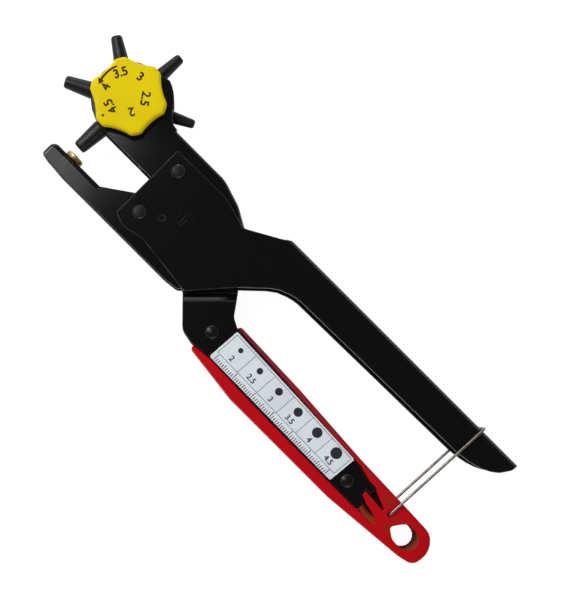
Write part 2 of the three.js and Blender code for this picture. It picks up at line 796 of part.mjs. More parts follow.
// Waste box: a scalloped rim over a round skirt, hollow above the collar that grips the axle.
function wasteBox() {
  const bottom = cheekOuter + seatGap + flangeThickness / 2;
  const lobes = [];
  const share = (2 * Math.PI) / holeSizes.length;
  const scallopCentre = lobeInner + scallopRadius;
  for (let step = 0; step < lobeSteps; step += 1) {
    const angle = firstPunchAngle + (2 * Math.PI * step) / lobeSteps;
    const off = ((2 * Math.PI * step) / lobeSteps) % share - share / 2;
    const reach = Math.sqrt(scallopRadius ** 2 - (scallopCentre * Math.sin(off)) ** 2);
    const radius = Math.min(lobeOuter, scallopCentre * Math.cos(off) - reach);
    const place = polar(turretCentre, radius, angle);
    lobes.push(new THREE.Vector2(place.x, place.y));
  }
  const half = (boxTop - rimBase) / 2;
  const geometry = new THREE.ExtrudeGeometry(new THREE.Shape(lobes), {
    depth: 2 * (half - bendInner),
    bevelThickness: bendInner,
    bevelSize: bendInner,
    bevelOffset: -bendInner,
    bevelSegments: 3,
  });
  let body = solidOf(geometry.translate(0, 0, rimBase + bendInner));
  const skirt = lobeInner - bendInner;
  body = body.add(bar(turretCentre, skirt, bottom, boxTop - boxWall, 2 * roundSides));
  const ringTop = cheekOuter + seatGap + ringThickness + fitGap;
  body = body.subtract(bar(turretCentre, axleFlange + fitGap, bottom - overrun, ringTop));
  body = body.subtract(bar(turretCentre, axleOuter + seatGap, bottom, boxTop - boxWall));
  return body.subtract(bar(turretCentre, skirt - boxWall, ringTop + boxWall, boxTop - boxWall));
}

// Leaf spring that presses the ball: flat at its rivet, stepped where it crosses the ball.
function indexSpring() {
  const near = cheekOuter + seatGap;
  const under = seatGap - ballHeight + ballRadius;
  const rise = under - near;
  const start = indexRivetPlace.x - rivetShank;
  const end = ballPlace.x + ballRadius;
  const width = ballRadius + springSheet;
  const profile = [
    [start, near],
    [indexRivetPlace.x + rivetShank, near],
    [indexRivetPlace.x + rivetShank + rise * 2, under],
    [end, under],
    [end, under + springSheet],
    [indexRivetPlace.x + rivetShank + rise * 2, under + springSheet],
    [indexRivetPlace.x + rivetShank, near + springSheet],
    [start, near + springSheet],
  ].map(([x, depth]) => new THREE.Vector2(x, -depth));
  const leaf = new THREE.Shape(profile);
  const geometry = new THREE.ExtrudeGeometry(leaf, { depth: 2 * width, bevelEnabled: false });
  geometry.translate(0, 0, -width).rotateX(Math.PI / 2);
  const hole = bar(indexRivetPlace, keyRadius + seatGap, -restHalf, 0, smallSides);
  return solidOf(geometry.translate(0, turretCentre.y, 0)).subtract(hole);
}

function indexRivet() {
  const under = cheekOuter + 2 * seatGap + springSheet;
  return turned([
    [0, -under - springSheet],
    [rivetFlat, -under - springSheet],
    [rivetFlat, -under],
    [keyRadius, -under],
    [keyRadius, -cheekInner],
    [0, -cheekInner],
  ], indexRivetPlace, smallSides);
}

// Return spring: a coil round the lever's bush, with a leg on a pin of each side.
// Its curls come from the formula of a helix, and its least gap is printed.
function springPath() {
  const start = Math.PI / 2;
  const sweep = springTurns * 2 * Math.PI + springSpread;
  const steps = Math.ceil(springTurns * coilSteps + 1);
  const height = (angle) => ((angle - start) / sweep - 0.5) * springPitch * (sweep / (2 * Math.PI));
  const points = [];
  const firstTouch = polar(leverPivot, springCoilRadius, start);
  points.push(new THREE.Vector3(firstTouch.x + stopLegLength, firstTouch.y, height(start)));
  for (let step = 0; step <= steps; step += 1) {
    const angle = start + (sweep * step) / steps;
    const place = polar(leverPivot, springCoilRadius, angle);
    points.push(new THREE.Vector3(place.x, place.y, height(angle)));
  }
  const end = start + sweep;
  const lastTouch = polar(leverPivot, springCoilRadius, end);
  const foot = polar(lastTouch, springLegLength, end + Math.PI / 2);
  points.push(new THREE.Vector3(foot.x, foot.y, height(end)));
  return points;
}

// Bail: one wire, with its ends turned into the grip and its loop over the upper handle.
function bailPath() {
  const loopY = -handleTop - bailGap - bailWire / 2;
  const loopX = bailPivot.x - bailLean;
  const corners = [
    new THREE.Vector3(bailPivot.x, bailPivot.y, bailInner),
    new THREE.Vector3(bailPivot.x, bailPivot.y, bailSide),
    new THREE.Vector3(loopX, loopY, bailSide),
    new THREE.Vector3(loopX, loopY, -bailSide),
    new THREE.Vector3(bailPivot.x, bailPivot.y, -bailSide),
    new THREE.Vector3(bailPivot.x, bailPivot.y, -bailInner),
  ];
  const points = [corners[0]];
  for (let index = 1; index < corners.length - 1; index += 1) {
    const here = corners[index];
    const back = corners[index - 1].clone().sub(here).normalize().multiplyScalar(bailBend);
    const ahead = corners[index + 1].clone().sub(here).normalize().multiplyScalar(bailBend);
    const turn = new THREE.QuadraticBezierCurve3(here.clone().add(back), here, here.clone().add(ahead));
    points.push(...turn.getPoints(4));
  }
  points.push(corners[corners.length - 1]);
  return points;
}

addPiece('upper_handle', upperHandle(), blackPaint);
addPiece('anvil_jaw', anvilJaw(), blackPaint);
addPiece('anvil', anvilDisc(), brass);
addPiece('lever_pivot_rivet', headedRivet(leverPivot), blackPaint);
addPiece('jaw_pivot_rivet', headedRivet(jawPivot), blackPaint);
const bushBore = rivetShank + fitGap;
const leverBush = tongueInner - seatGap;
addPiece('lever_pivot_bush', tube(leverPivot, bushOuter, bushBore, -leverBush, leverBush), brightSteel);
const jawBush = cheekInner - seatGap;
addPiece('jaw_pivot_bush', tube(jawPivot, bushOuter, bushBore, -jawBush, jawBush), brightSteel);
const key = bar(jawKey, keyRadius, cheekInner, plateOuter, smallSides);
addPiece('anvil_jaw_key_front', key, blackSteel);
addPiece('anvil_jaw_key_rear', reflected(key), blackSteel);
addPiece('spring_stop_pin', bar(springStop, pinRadius, -stopHalf, stopHalf, smallSides), blackSteel);
addPiece('return_spring', wire(springPath(), springWire / 2, 5), brightSteel);
const strap = leverStrap();
addPiece('lever_strap_front', strap, blackPaint);
addPiece('lever_strap_rear', reflected(strap), blackPaint);
addPiece('grip', redGrip(), redPlastic);
addPiece('grip_rivet_upper', domedRivet(upperGripRivet), blackPaint);
addPiece('grip_rivet_lower', domedRivet(lowerGripRivet), blackPaint);
addPiece('drive_pin', bar(drivePin, driveRadius, -cheekOuter, cheekOuter, smallSides), brightSteel);
addPiece('spring_pin', bar(springPin, pinRadius, -tongueOuter, tongueOuter, smallSides), brightSteel);
addPiece('turret_jaw', turretJaw(), blackPaint);
const ballShape = new THREE.SphereGeometry(ballRadius, smallSides * 3 / 4, smallSides / 2);
addPiece('index_ball', solidOf(ballShape.translate(ballPlace.x, ballPlace.y, ballHeight)), brightSteel);
addPiece('index_spring', indexSpring(), brightSteel);
addPiece('index_rivet', indexRivet(), blackSteel);
addPiece('turret_wheel', turretWheel(), blackSteel);
addPiece('turret_axle', turretAxle(), brightSteel);
const ringFoot = cheekOuter + seatGap;
const ring = tube(turretCentre, axleFlange, axleOuter + seatGap, ringFoot, ringFoot + ringThickness);
addPiece('turret_ring', ring, brightSteel);
holeSizes.forEach((size, index) => {
  addPiece(`punch_${String(size).replace('.', '_')}`, punch(size, punchAngle(index)), blackSteel);
});
addPiece('waste_box', wasteBox(), yellowPlastic);
addPiece('latch_bail', wire(bailPath(), bailWire / 2, 10), brightSteel);

// Least gap between the turns of the return spring, measured between points a turn apart.
const coil = springPath();
let leastGap = Infinity;
coil.forEach((point, index) => {
  coil.slice(index + coilSteps / 2).forEach((other) => {
    leastGap = Math.min(leastGap, point.distanceTo(other) - springWire);
  });
});
console.log(`least gap of the return spring to itself: ${leastGap.toFixed(2)} mm`);

export default pliers;
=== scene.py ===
"""Revolving punch pliers with a wire bail: the dressed model around its fixed frame."""

import logging
import math
from dataclasses import dataclass, field
from enum import Enum
from typing import Any, Sequence

import bmesh
import bpy
import numpy as np
from mathutils import Matrix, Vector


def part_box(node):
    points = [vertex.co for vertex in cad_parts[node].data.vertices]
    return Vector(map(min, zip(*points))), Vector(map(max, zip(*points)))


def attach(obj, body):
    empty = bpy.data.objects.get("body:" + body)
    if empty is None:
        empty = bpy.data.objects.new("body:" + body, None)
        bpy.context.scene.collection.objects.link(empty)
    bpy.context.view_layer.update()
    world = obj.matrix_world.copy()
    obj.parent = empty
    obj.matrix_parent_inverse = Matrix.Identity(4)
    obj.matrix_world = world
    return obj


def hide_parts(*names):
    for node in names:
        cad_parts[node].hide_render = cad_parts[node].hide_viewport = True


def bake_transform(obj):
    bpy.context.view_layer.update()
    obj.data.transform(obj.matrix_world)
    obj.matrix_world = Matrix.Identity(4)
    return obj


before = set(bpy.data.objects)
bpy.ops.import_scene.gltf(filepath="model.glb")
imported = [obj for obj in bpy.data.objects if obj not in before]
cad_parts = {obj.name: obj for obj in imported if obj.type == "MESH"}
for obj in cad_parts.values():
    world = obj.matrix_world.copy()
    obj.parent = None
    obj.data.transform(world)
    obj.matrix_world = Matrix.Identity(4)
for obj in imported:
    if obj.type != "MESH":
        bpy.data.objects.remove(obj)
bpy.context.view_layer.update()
LOG = logging.getLogger("pliers")

MM = 0.001
DIAGONAL = math.sqrt(0.5)
IMAGE_WIDTH, IMAGE_HEIGHT = 567, 600
FOCAL_PIXELS = 1456
"""Focal length of the photograph's camera, in pixels of that image."""
CAMERA = (-60.3, 34.0, 565.6)
"""Where that camera stands over the pliers, in millimetres."""
UNDER_CAMERA = (189, 390)
"""Pixel that shows the point straight under it."""
FACE_HEIGHT = 24.93
"""Height of the knob's print over the floor, in millimetres."""
FACE_STEP = (CAMERA[2] - FACE_HEIGHT) / FOCAL_PIXELS * DIAGONAL
"""How far a pixel of the picture goes along X and along Y on that print, in millimetres."""
MIDDLE = 10.5 * MM
"""Height of the pliers' middle plane over the surface that they lie on."""
CUT_FACE = 2.2 * MM
"""Upright faces lower than this are the cut edges of the sheet."""
SHARP, FLAT = math.radians(33), math.radians(1)
"""Edges that turn by more are rounded, and those that turn by less are taken away."""
WELD = 0.004 * MM
LIFT = 0.002
"""Step in millimetres from one copy of a bold figure up to the next."""
STAND_OFF = 0.02
"""Gap in millimetres that keeps a face clear of the one under it."""
TURRET = (33.0, -27.4)
"""Centre of the turret and of the knob over it, in millimetres."""
FIRST_ANGLE = 86.5
"""Direction from that centre to the working punch, in degrees."""
PUNCHES = 6
RIVET_SHANK, RIVET_HEAD = 2.0, 2.75
"""Radii of the four rivets and of their heads, in millimetres."""
UPRIGHT = (0.0, 0.0, 1.0)

Faces = list[tuple[int, ...]]
Shape = tuple[np.ndarray, Faces]
Profile = Sequence[Sequence[float]]
Colour = tuple[float, float, float, float]
Zone = tuple[float, float, float]
"""Centre and radius of a round zone, or three measures of a ring."""
Sockets = dict[str, Any]


# Shader sums


class Shade:
    """A number or colour in a material's nodes, on which sums can be written."""

    def __init__(self, bench: "Bench", socket: bpy.types.NodeSocket) -> None:
        """Wraps one output socket of a bench's nodes."""
        self.bench = bench
        self.socket = socket

    def _sum(self, operation: str, first: Any, second: Any, clamp: bool = False) -> "Shade":
        """Result of one Math node on two values."""
        settings = {"operation": operation, "use_clamp": clamp}
        return self.bench.out("ShaderNodeMath", settings, {0: first, 1: second})

    def __add__(self, other: Any) -> "Shade":
        """This plus another."""
        return self._sum("ADD", self, other)

    __radd__ = __add__

    def __sub__(self, other: Any) -> "Shade":
        """This less another."""
        return self._sum("SUBTRACT", self, other)

    def __rsub__(self, other: Any) -> "Shade":
        """Another less this."""
        return self._sum("SUBTRACT", other, self)

    def __mul__(self, other: Any) -> "Shade":
        """This times another."""
        return self._sum("MULTIPLY", self, other)

    __rmul__ = __mul__

    def __abs__(self) -> "Shade":
        """This without its sign."""
        return self._sum("ABSOLUTE", self, 0)

    def wave(self) -> "Shade":
        """Sine of this."""
        return self._sum("SINE", self, 0)

    def within(self, low: float, high: float) -> "Shade":
        """Share from 0 to 1 of the way from one value to another, held at both ends."""
        return self._sum("MULTIPLY", self - low, 1 / (high - low), clamp=True)


class Bench:
    """Makes and joins the nodes of one material or of the world."""

    def __init__(self, tree: bpy.types.NodeTree) -> None:
        """Starts on an empty tree."""
        self.tree = tree
        tree.nodes.clear()

    def node(self, kind: str, settings: dict[str, Any] | None = None,
             inputs: dict[Any, Any] | None = None) -> bpy.types.Node:
        """Makes a node, sets it up and joins its inputs.

        Args:
            kind: The node's type.
            settings: Its properties.
            inputs: A value or a Shade for each socket, by name or number.

        Returns:
            The new node.
        """
        made = self.tree.nodes.new(kind)
        for name, value in (settings or {}).items():
            setattr(made, name, value)
        for name, value in (inputs or {}).items():
            if isinstance(value, Shade):
                self.tree.links.new(value.socket, made.inputs[name])
            else:
                made.inputs[name].default_value = value
        return made

    def out(self, kind: str, settings: dict[str, Any] | None = None,
            inputs: dict[Any, Any] | None = None, output: Any = 0) -> Shade:
        """One output of a new node, ready for sums."""
        return Shade(self, self.node(kind, settings, inputs).outputs[output])

    def place(self, stretch: Sequence[float] = (1, 1, 1)) -> Shade:
        """Object coordinates, each stretched by its own factor."""
        here = self.out("ShaderNodeTexCoord", output="Object")
        return self.out("ShaderNodeMapping", inputs={"Vector": here, "Scale": tuple(stretch)})

    def noise(self, size: float, detail: float = 2, stretch: Sequence[float] = (1, 1, 1)) -> Shade:
        """Noise from 0 to 1 whose patches are about a size in millimetres across."""
        inputs = {"Vector": self.place(stretch), "Scale": 1 / (size * MM), "Detail": detail}
        return self.out("ShaderNodeTexNoise", inputs=inputs)

    def axis(self, name: str) -> Shade:
        """One object coordinate in metres."""
        here = self.out("ShaderNodeTexCoord", output="Object")
        return self.out("ShaderNodeSeparateXYZ", inputs={0: here}, output=name)

    def attribute(self, name: str) -> Shade:
        """A number kept on the mesh."""
        return self.out("ShaderNodeAttribute", {"attribute_name": name}, output="Fac")

    def blend(self, share: Any, first: Any, second: Any) -> Shade:
        """Colour that goes from the first to the second as the share goes from 0 to 1."""
        inputs = {0: share, 6: first, 7: second}
        return self.out("ShaderNodeMix", {"data_type": "RGBA"}, inputs, output=2)

    def near(self, zone: Zone) -> Shade:
        """Share that rises from 0 at the rim of a round zone to 1 at a third of its radius."""
        away = self.out("ShaderNodeVectorMath", {"operation": "DISTANCE"},
                        {0: self.place((1, 1, 0)), 1: (*zone[:2], 0.0)}, output="Value")
        return away.within(zone[2], zone[2] / 3)

    def bump(self, height: Shade, depth: float) -> Shade:
        """Normal of a surface that rises with the height, by the depth in millimetres at 1."""
        inputs = {"Strength": 1.0, "Distance": depth * MM, "Height": height}
        return self.out("ShaderNodeBump", inputs=inputs)

    def seen(self) -> Shade:
        """1 for the camera's rays, straight, mirrored or through film, and 0 for light alone."""
        path, kinds = self.node("ShaderNodeLightPath"), ("Camera", "Glossy", "Transmission")
        return sum(Shade(self, path.outputs[f"Is {kind} Ray"]) for kind in kinds).within(0, 1)


def linear(*display: int) -> Colour:
    """Linear colour, with an alpha of 1, of display values of red, green and blue."""
    shares = [value / 255 for value in display]
    return (*(share / 12.92 if share <= 0.04045 else ((share + 0.055) / 1.055) ** 2.4
              for share in shares), 1.0)


def gloss(level: float) -> Sockets:
    """Socket value for how much a surface mirrors, 0.5 for a usual one."""
    return {"Specular IOR Level": level}


# Finishes. Noise sizes and bump depths are in millimetres, and places in metres.


@dataclass(frozen=True)
class Finish:
    """What every finish has: a name, a colour, a roughness, and the sockets that stay even."""

    name: str
    colour: Colour
    roughness: float
    even: Sockets = field(default_factory=dict)

    def material(self) -> bpy.types.Material:
        """Finds the finish's material, or makes it at its first use.

        Returns:
            The material.
        """
        found = bpy.data.materials.get(self.name)
        if found:
            return found
        made = bpy.data.materials.new(self.name)
        made.use_nodes = True
        made.diffuse_color = self.colour
        bench = Bench(made.node_tree)
        changing = self.surface(bench)
        for share, colour in self.marks(bench):
            changing["Base Color"] = bench.blend(share, changing["Base Color"], colour)
        shader = bench.out("ShaderNodeBsdfPrincipled", inputs={**self.even, **changing})
        bench.node("ShaderNodeOutputMaterial", inputs={"Surface": shader})
        return made

    def surface(self, bench: Bench) -> Sockets:
        """Each kind of finish says here what changes over its surface, by socket name."""
        raise NotImplementedError

    def marks(self, bench: Bench) -> list[tuple[Shade, Colour]]:
        """Marks over the surface: the share of each and its colour, the lowest first."""
        return []


@dataclass(frozen=True)
class SatinPaint(Finish):
    """Stoved black paint: fine orange peel, dull patches, faint rubs along the tool and dust."""

    colour: Colour = linear(13, 12, 14)
    roughness: float = 0.08
    even: Sockets = field(default_factory=lambda: gloss(0.3))
    rub: Colour = linear(52, 50, 54)
    peel: float = 0.005
    edge: bool = False

    def surface(self, bench: Bench) -> Sockets:
        """Makes paint whose rubs are paler and glossier, and thicker along edges, for wear and a
        painted highlight.

        Args:
            bench: Where the nodes go.

        Returns:
            The sockets that change.
        """
        patches = bench.noise(14, 3)
        rubs = bench.noise(2.2, 4, (0.25, 1.6, 1)).within(0.64, 0.8)
        dust = bench.noise(0.35, 2).within(0.71, 0.77)
        wear = rubs * (0.8 if self.edge else 0.14) + dust * 0.16
        # Edges get heavier, paler wear: partly real wear, partly a painted highlight.
        if self.edge:
            wear = wear + bench.noise(5, 4).within(0.45, 0.7) * 0.5
        return {
            "Base Color": bench.blend(wear.within(0, 1), self.colour, self.rub),
            "Roughness": self.roughness + patches * 0.06 - rubs * 0.03,
            "Normal": bench.bump(bench.noise(0.55, 3) + patches * 0.4, self.peel),
        }


@dataclass(frozen=True)
class PatchPaint(SatinPaint):
    """Stoved paint with one round patch: a painted highlight on the plate, and an old stain on the
    jaw.
    """

    # By default the patch is a painted highlight on the plate, in place of light on a small relief.
    patch_zone: Zone = (-13.3 * MM, -10.4 * MM, 4.2 * MM)
    patch_colour: Colour = linear(62, 63, 63)

    def marks(self, bench: Bench) -> list[tuple[Shade, Colour]]:
        """The patch, a bundle of fine strokes along one direction."""
        # A painted highlight on the plate; an old stain on the jaw.
        strokes = bench.noise(0.9, 4, (1.2, 0.2, 1)).within(0.5, 0.66)
        return [(bench.near(self.patch_zone) * strokes * 0.4, self.patch_colour)]


@dataclass(frozen=True)
class HighlightBandPaint(SatinPaint):
    """Stoved paint of the lever straps: a grey painted highlight where they bend out under the
    handle.
    """

    # Grey of the painted highlight across the straps' bend.
    painted_highlight_grey: Colour = linear(82, 80, 80)
    band: tuple[float, float] = (-47.4 * MM, -44.6 * MM)
    band_soft: float = 0.5 * MM
    fade: tuple[float, float] = (-47.5 * MM, -41.9 * MM)

    def marks(self, bench: Bench) -> list[tuple[Shade, Colour]]:
        """Makes the painted highlight, a band in x - y that fades out along x + y.

        Args:
            bench: Where the nodes go.

        Returns:
            The one mark.
        """
        x, y = bench.axis("X"), bench.axis("Y")
        low, high = self.band
        share = (x - y - low).within(0, self.band_soft) * (high - (x - y)).within(0, self.band_soft)
        share = share * (x + y).within(*self.fade) * bench.noise(0.9, 3).within(0.1, 0.5)
        return [(share, self.painted_highlight_grey)]


@dataclass(frozen=True)
class TurnedSteel(Finish):
    """Blacked turned steel: rings of the lathe tool, and stained patches."""

    stain: Colour = linear(26, 25, 28)
    rings_per_mm: float = 3.2
    finer: float = 2.7
    ring_depth: float = 0.0018

    def surface(self, bench: Bench) -> Sockets:
        """Makes rings that follow the distance along the profile, kept on the mesh as run.

        Args:
            bench: Where the nodes go.

        Returns:
            The sockets that change.
        """
        turns = bench.attribute("run") * (2 * math.pi * self.rings_per_mm)
        rings, fine = turns.wave(), (turns * self.finer).wave()
        patches = bench.noise(3, 4)
        return {
            "Base Color": bench.blend(patches.within(0.4, 0.8) * 0.6, self.colour, self.stain),
            "Roughness": self.roughness + patches * 0.12 + rings * 0.02,
            "Normal": bench.bump(rings + fine * 0.5 + patches, self.ring_depth),
        }


@dataclass(frozen=True)
class PlainSteel(Finish):
    """Drawn or pressed steel, bright or brown: fine scratches, dull spots and a little tarnish."""

    tarnish: Colour = linear(92, 86, 80)

    def surface(self, bench: Bench) -> Sockets:
        """Makes scratches of stretched noise, and tarnish that gathers in patches.

        Args:
            bench: Where the nodes go.

        Returns:
            The sockets that change.
        """
        patches = bench.noise(4, 4)
        spots = bench.noise(0.8, 3).within(0.58, 0.7)
        share = patches.within(0.45, 0.75) * 0.7 + spots * 0.3
        return {
            "Base Color": bench.blend(share, self.colour, self.tarnish),
            "Roughness": self.roughness + patches * 0.15 + spots * 0.15,
            "Normal": bench.bump(bench.noise(0.5, 3, (0.2, 1, 1)), 0.006),
        }


@dataclass(frozen=True)
class AnvilBrass(Finish):
    """Brass that is polished on its face, with painted shade darkening its sides to the foot, and
    dented by the punches.
    """

    # Colour of the painted shade on the sides, deepest at the foot, and of a few darker spots.
    foot: Colour = linear(84, 62, 30)
    face_y: float = 1.35 * MM
    # Depths below the face over which the painted shade comes in.
    stained: tuple[float, float] = (0.2 * MM, 1.7 * MM)

    def surface(self, bench: Bench) -> Sockets:
        """Makes painted shade that deepens with the distance below the face.

        Args:
            bench: Where the nodes go.

        Returns:
            The sockets that change.
        """
        depth = (bench.axis("Y") - self.face_y).within(*self.stained)
        spots = bench.noise(0.7, 3)
        share = depth * 0.7 + spots.within(0.5, 0.8) * 0.15
        return {
            "Base Color": bench.blend(share, self.colour, self.foot),
            "Roughness": self.roughness + depth * 0.15 + spots * 0.1,
            "Normal": bench.bump(spots, 0.006),
        }


@dataclass(frozen=True)
class MouldedPlastic(Finish):
    """Moulded plastic: a fine spark-eroded grain, soft flow marks and rubbed, paler high spots."""

    roughness: float = 0.36
    even: Sockets = field(default_factory=lambda: gloss(0.08))
    rub: Colour = linear(240, 218, 16)
    shade: Colour = linear(204, 178, 1)
    grain: float = 0.006

    def surface(self, bench: Bench) -> Sockets:
        """Makes flow marks that darken the colour a little, and rubs that pale it.

        Args:
            bench: Where the nodes go.

        Returns:
            The sockets that change.
        """
        flow = bench.noise(11, 3, (0.5, 1, 1))
        rubs = bench.noise(1.6, 4).within(0.62, 0.8)
        tint = bench.blend(flow.within(0.35, 0.8) * 0.35, self.colour, self.shade)
        return {
            "Base Color": bench.blend(rubs * 0.18, tint, self.rub),
            "Roughness": self.roughness + flow * 0.1 + rubs * 0.08,
            "Normal": bench.bump(bench.noise(0.3, 3) + flow * 0.5, self.grain),
        }


@dataclass(frozen=True)
class GrimeAndShadePlastic(MouldedPlastic):
    """Moulded plastic of the grip: grime and painted shade in its recesses and hanging hole.

    Each side wall is a line: y at the place sides_from, and how much y changes for each step in x.
    """

    rub: Colour = linear(204, 36, 40)
    shade: Colour = linear(142, 4, 12)
    grain: float = 0.01
    # Grime and painted shade: brown in the hole and the recess, near black in the wedge.
    hole_grime_and_shade: Colour = linear(160, 80, 48)
    smeared: Colour = linear(124, 42, 18)
    wedge_grime_and_shade: Colour = linear(30, 20, 17)
    recess_grime_and_shade: Colour = linear(158, 58, 32)
    # Painted shade: the rim near the head is darkened as if turned away from the light, along x and
    # below y.
    painted_rim_shade: Colour = linear(108, 44, 54)
    dull_along: tuple[float, float] = (-150 * MM, -70 * MM)
    dull_below: float = 12 * MM
    dull_soft: float = 3 * MM
    recess: Zone = (-141.5 * MM, 20.2 * MM, 11.0 * MM)
    wedge: Zone = (-140.0 * MM, 12.8 * MM, 7.4 * MM)
    hole: Zone = (-156.0 * MM, 15.6 * MM, 9.8 * MM)
    smears: tuple[Zone, ...] = (
        (-151.0 * MM, 12.4 * MM, 3.4 * MM),
        (-143.6 * MM, 9.8 * MM, 3.6 * MM),
        (-150.0 * MM, 17.6 * MM, 3.0 * MM),
    )
    sunk: tuple[float, float] = (8.75 * MM, 8.4 * MM)
    inside: tuple[float, float] = (0.3 * MM, 0.8 * MM)
    sides_from: float = -140.0 * MM
    near_side: tuple[float, float] = (7.24 * MM, -0.0356)
    far_side: tuple[float, float] = (24.36 * MM, 0.0866)

    def surface(self, bench: Bench) -> Sockets:
        """Adds grime and painted shade below the face between the side walls, a few smears and
        painted shade on the rim.

        Args:
            bench: Where the nodes go.

        Returns:
            The sockets that change.
        """
        sockets = super().surface(bench)
        x, y = bench.axis("X"), bench.axis("Y")
        run = x - self.sides_from
        sunk = abs(bench.axis("Z") - MIDDLE).within(*self.sunk)
        sunk = sunk * (y - self.near_side[0] - run * self.near_side[1]).within(*self.inside)
        sunk = sunk * (self.far_side[0] + run * self.far_side[1] - y).within(*self.inside)
        patchy = bench.noise(1.7, 4, (0.6, 1, 1))
        # Painted shade on the rim near the head, in patches.
        dull = x.within(*self.dull_along) * (self.dull_below - y).within(0, self.dull_soft)
        dull = dull * patchy.within(0, 0.5) * 0.85
        colour = bench.blend(dull, sockets["Base Color"], self.painted_rim_shade)
        patches = sunk * patchy.within(0.1, 0.45) * 1.6
        # Grime and painted shade in the hanging hole and in the recess, where they are sunk.
        in_hole = (bench.near(self.hole) * patches).within(0, 1)
        in_recess = (bench.near(self.recess) * patches).within(0, 1)
        colour = bench.blend(in_hole, colour, self.hole_grime_and_shade)
        colour = bench.blend(in_recess, colour, self.recess_grime_and_shade)
        for smear in self.smears:
            share = bench.near(smear) * patchy.within(0.4, 0.6) * 0.85
            colour = bench.blend(share, colour, self.smeared)
        # Grime and painted shade, near black, in the wedge.
        share = (bench.near(self.wedge) * 3 * sunk).within(0, 1)
        sockets["Base Color"] = bench.blend(share, colour, self.wedge_grime_and_shade)
        sockets["Roughness"] = sockets["Roughness"] + (in_hole + in_recess) * 0.5
        return sockets


@dataclass(frozen=True)
class PrintedInk(Finish):
    """Pad-printed ink: slightly broken where it lies thin."""

    thin: Colour = linear(140, 120, 16)

    def surface(self, bench: Bench) -> Sockets:
        """Thin spots let the ground show through."""
        thin = bench.noise(0.35, 3).within(0.6, 0.85)
        return {
            "Base Color": bench.blend(thin * 0.3, self.colour, self.thin),
            "Roughness": self.roughness + thin * 0.1,
        }


@dataclass(frozen=True)
class StickerFilm(Finish):
    """Glossy sticker film, a little uneven where it is smoothed down."""

    shadow: Colour = linear(204, 214, 222)

    def surface(self, bench: Bench) -> Sockets:
        """Soft waves of the film under a fine grain."""
        waves = bench.noise(9, 2)
        return {
            "Base Color": bench.blend(waves.within(0.4, 0.75) * 0.5, self.colour, self.shadow),
            "Roughness": self.roughness + waves * 0.1,
            "Normal": bench.bump(waves + bench.noise(0.6, 2) * 0.06, 0.06),
        }


class Finishes:
    """Every finish of the pliers, named for what carries it."""

    PAINT = SatinPaint("satin_black")
    # Paler paint of the edges and cut faces: partly wear, partly a painted highlight.
    PAINT_EDGE = SatinPaint("satin_black_edge", linear(26, 25, 28), 0.3, gloss(0.15),
                            linear(70, 69, 73), 0.008, True)
    # Plate paint with a small round patch of painted highlight.
    PLATE = PatchPaint("satin_black_plate_painted_highlight")
    JAW = PatchPaint("stained_satin_black", patch_zone=(31.9 * MM, 6.4 * MM, 5.5 * MM),
                       patch_colour=linear(104, 78, 54))
    # Strap paint with a grey painted highlight across their bend.
    STRAP = HighlightBandPaint("satin_black_strap_painted_highlight")
    RIVET = SatinPaint("satin_black_rivet", linear(15, 14, 16), 0.26)
    PUNCH = TurnedSteel("blacked_punch_steel", linear(41, 40, 42), 0.36, {"Metallic": 0.75})
    BLACKED = PlainSteel("blacked_steel", linear(44, 44, 48), 0.36, {"Metallic": 0.8},
                         linear(24, 23, 25))
    WIRE = PlainSteel("bail_wire_steel", linear(136, 132, 127), 0.26, {"Metallic": 1.0},
                      linear(92, 82, 74))
    BRIGHT = PlainSteel("pressed_bright_steel", linear(172, 171, 168), 0.28, {"Metallic": 1.0})
    BRASS = AnvilBrass("anvil_brass", linear(206, 184, 130), 0.3, {"Metallic": 0.85})
    # Grip red with grime and painted shade in its hollows, and painted shade on its rim near the
    # head.
    RED = GrimeAndShadePlastic("red_grip_grime_and_painted_shade", linear(193, 7, 19))
    YELLOW = MouldedPlastic("moulded_yellow_knob", linear(230, 205, 1))
    KNOB_INK = PrintedInk("knob_ink", linear(70, 46, 6), 0.5, gloss(0.08))
    LABEL_INK = PrintedInk("label_ink", linear(30, 32, 42), 0.45, {}, linear(96, 102, 116))
    FILM = StickerFilm("sticker_film", linear(226, 235, 240), 0.3,
                       {"Coat Weight": 0.2, "Coat Roughness": 0.12})


# Meshes worked out as whole arrays


def round_steps(count: int) -> np.ndarray:
    """Angles of even steps once round."""
    return np.linspace(0, 2 * math.pi, count, endpoint=False)


def at_middle(x: float, y: float, height: float = 0) -> np.ndarray:
    """Point in metres from x, y and a height over the middle plane in millimetres."""
    return np.array([x * MM, y * MM, MIDDLE + height * MM])


def grid_faces(rows: int, columns: int, close_rows: bool) -> Faces:
    """Quads between neighbouring points of a grid that is numbered row by row.

    Args:
        rows: Number of rows.
        columns: Number of points in a row, the last of which joins the first.
        close_rows: Whether the last row joins the first.

    Returns:
        Corner numbers of each quad, facing out when rows rise and points go anticlockwise.
    """
    row = np.arange(rows if close_rows else rows - 1)[:, None]
    column = np.arange(columns)[None, :]
    next_row, next_column = (row + 1) % rows, (column + 1) % columns
    corners = [row * columns + column, row * columns + next_column,
               next_row * columns + next_column, next_row * columns + column]
    quads = np.stack(np.broadcast_arrays(*corners), axis=-1).reshape(-1, 4)
    return [tuple(quad) for quad in quads.tolist()]


def tube_faces(rows: int, columns: int) -> Faces:
    """Faces of a closed tube: a grid of rows round it, with a flat end at each side."""
    first = range(columns)
    return [*grid_faces(rows, columns, False), tuple(reversed(first)),
            tuple(corner + (rows - 1) * columns for corner in first)]


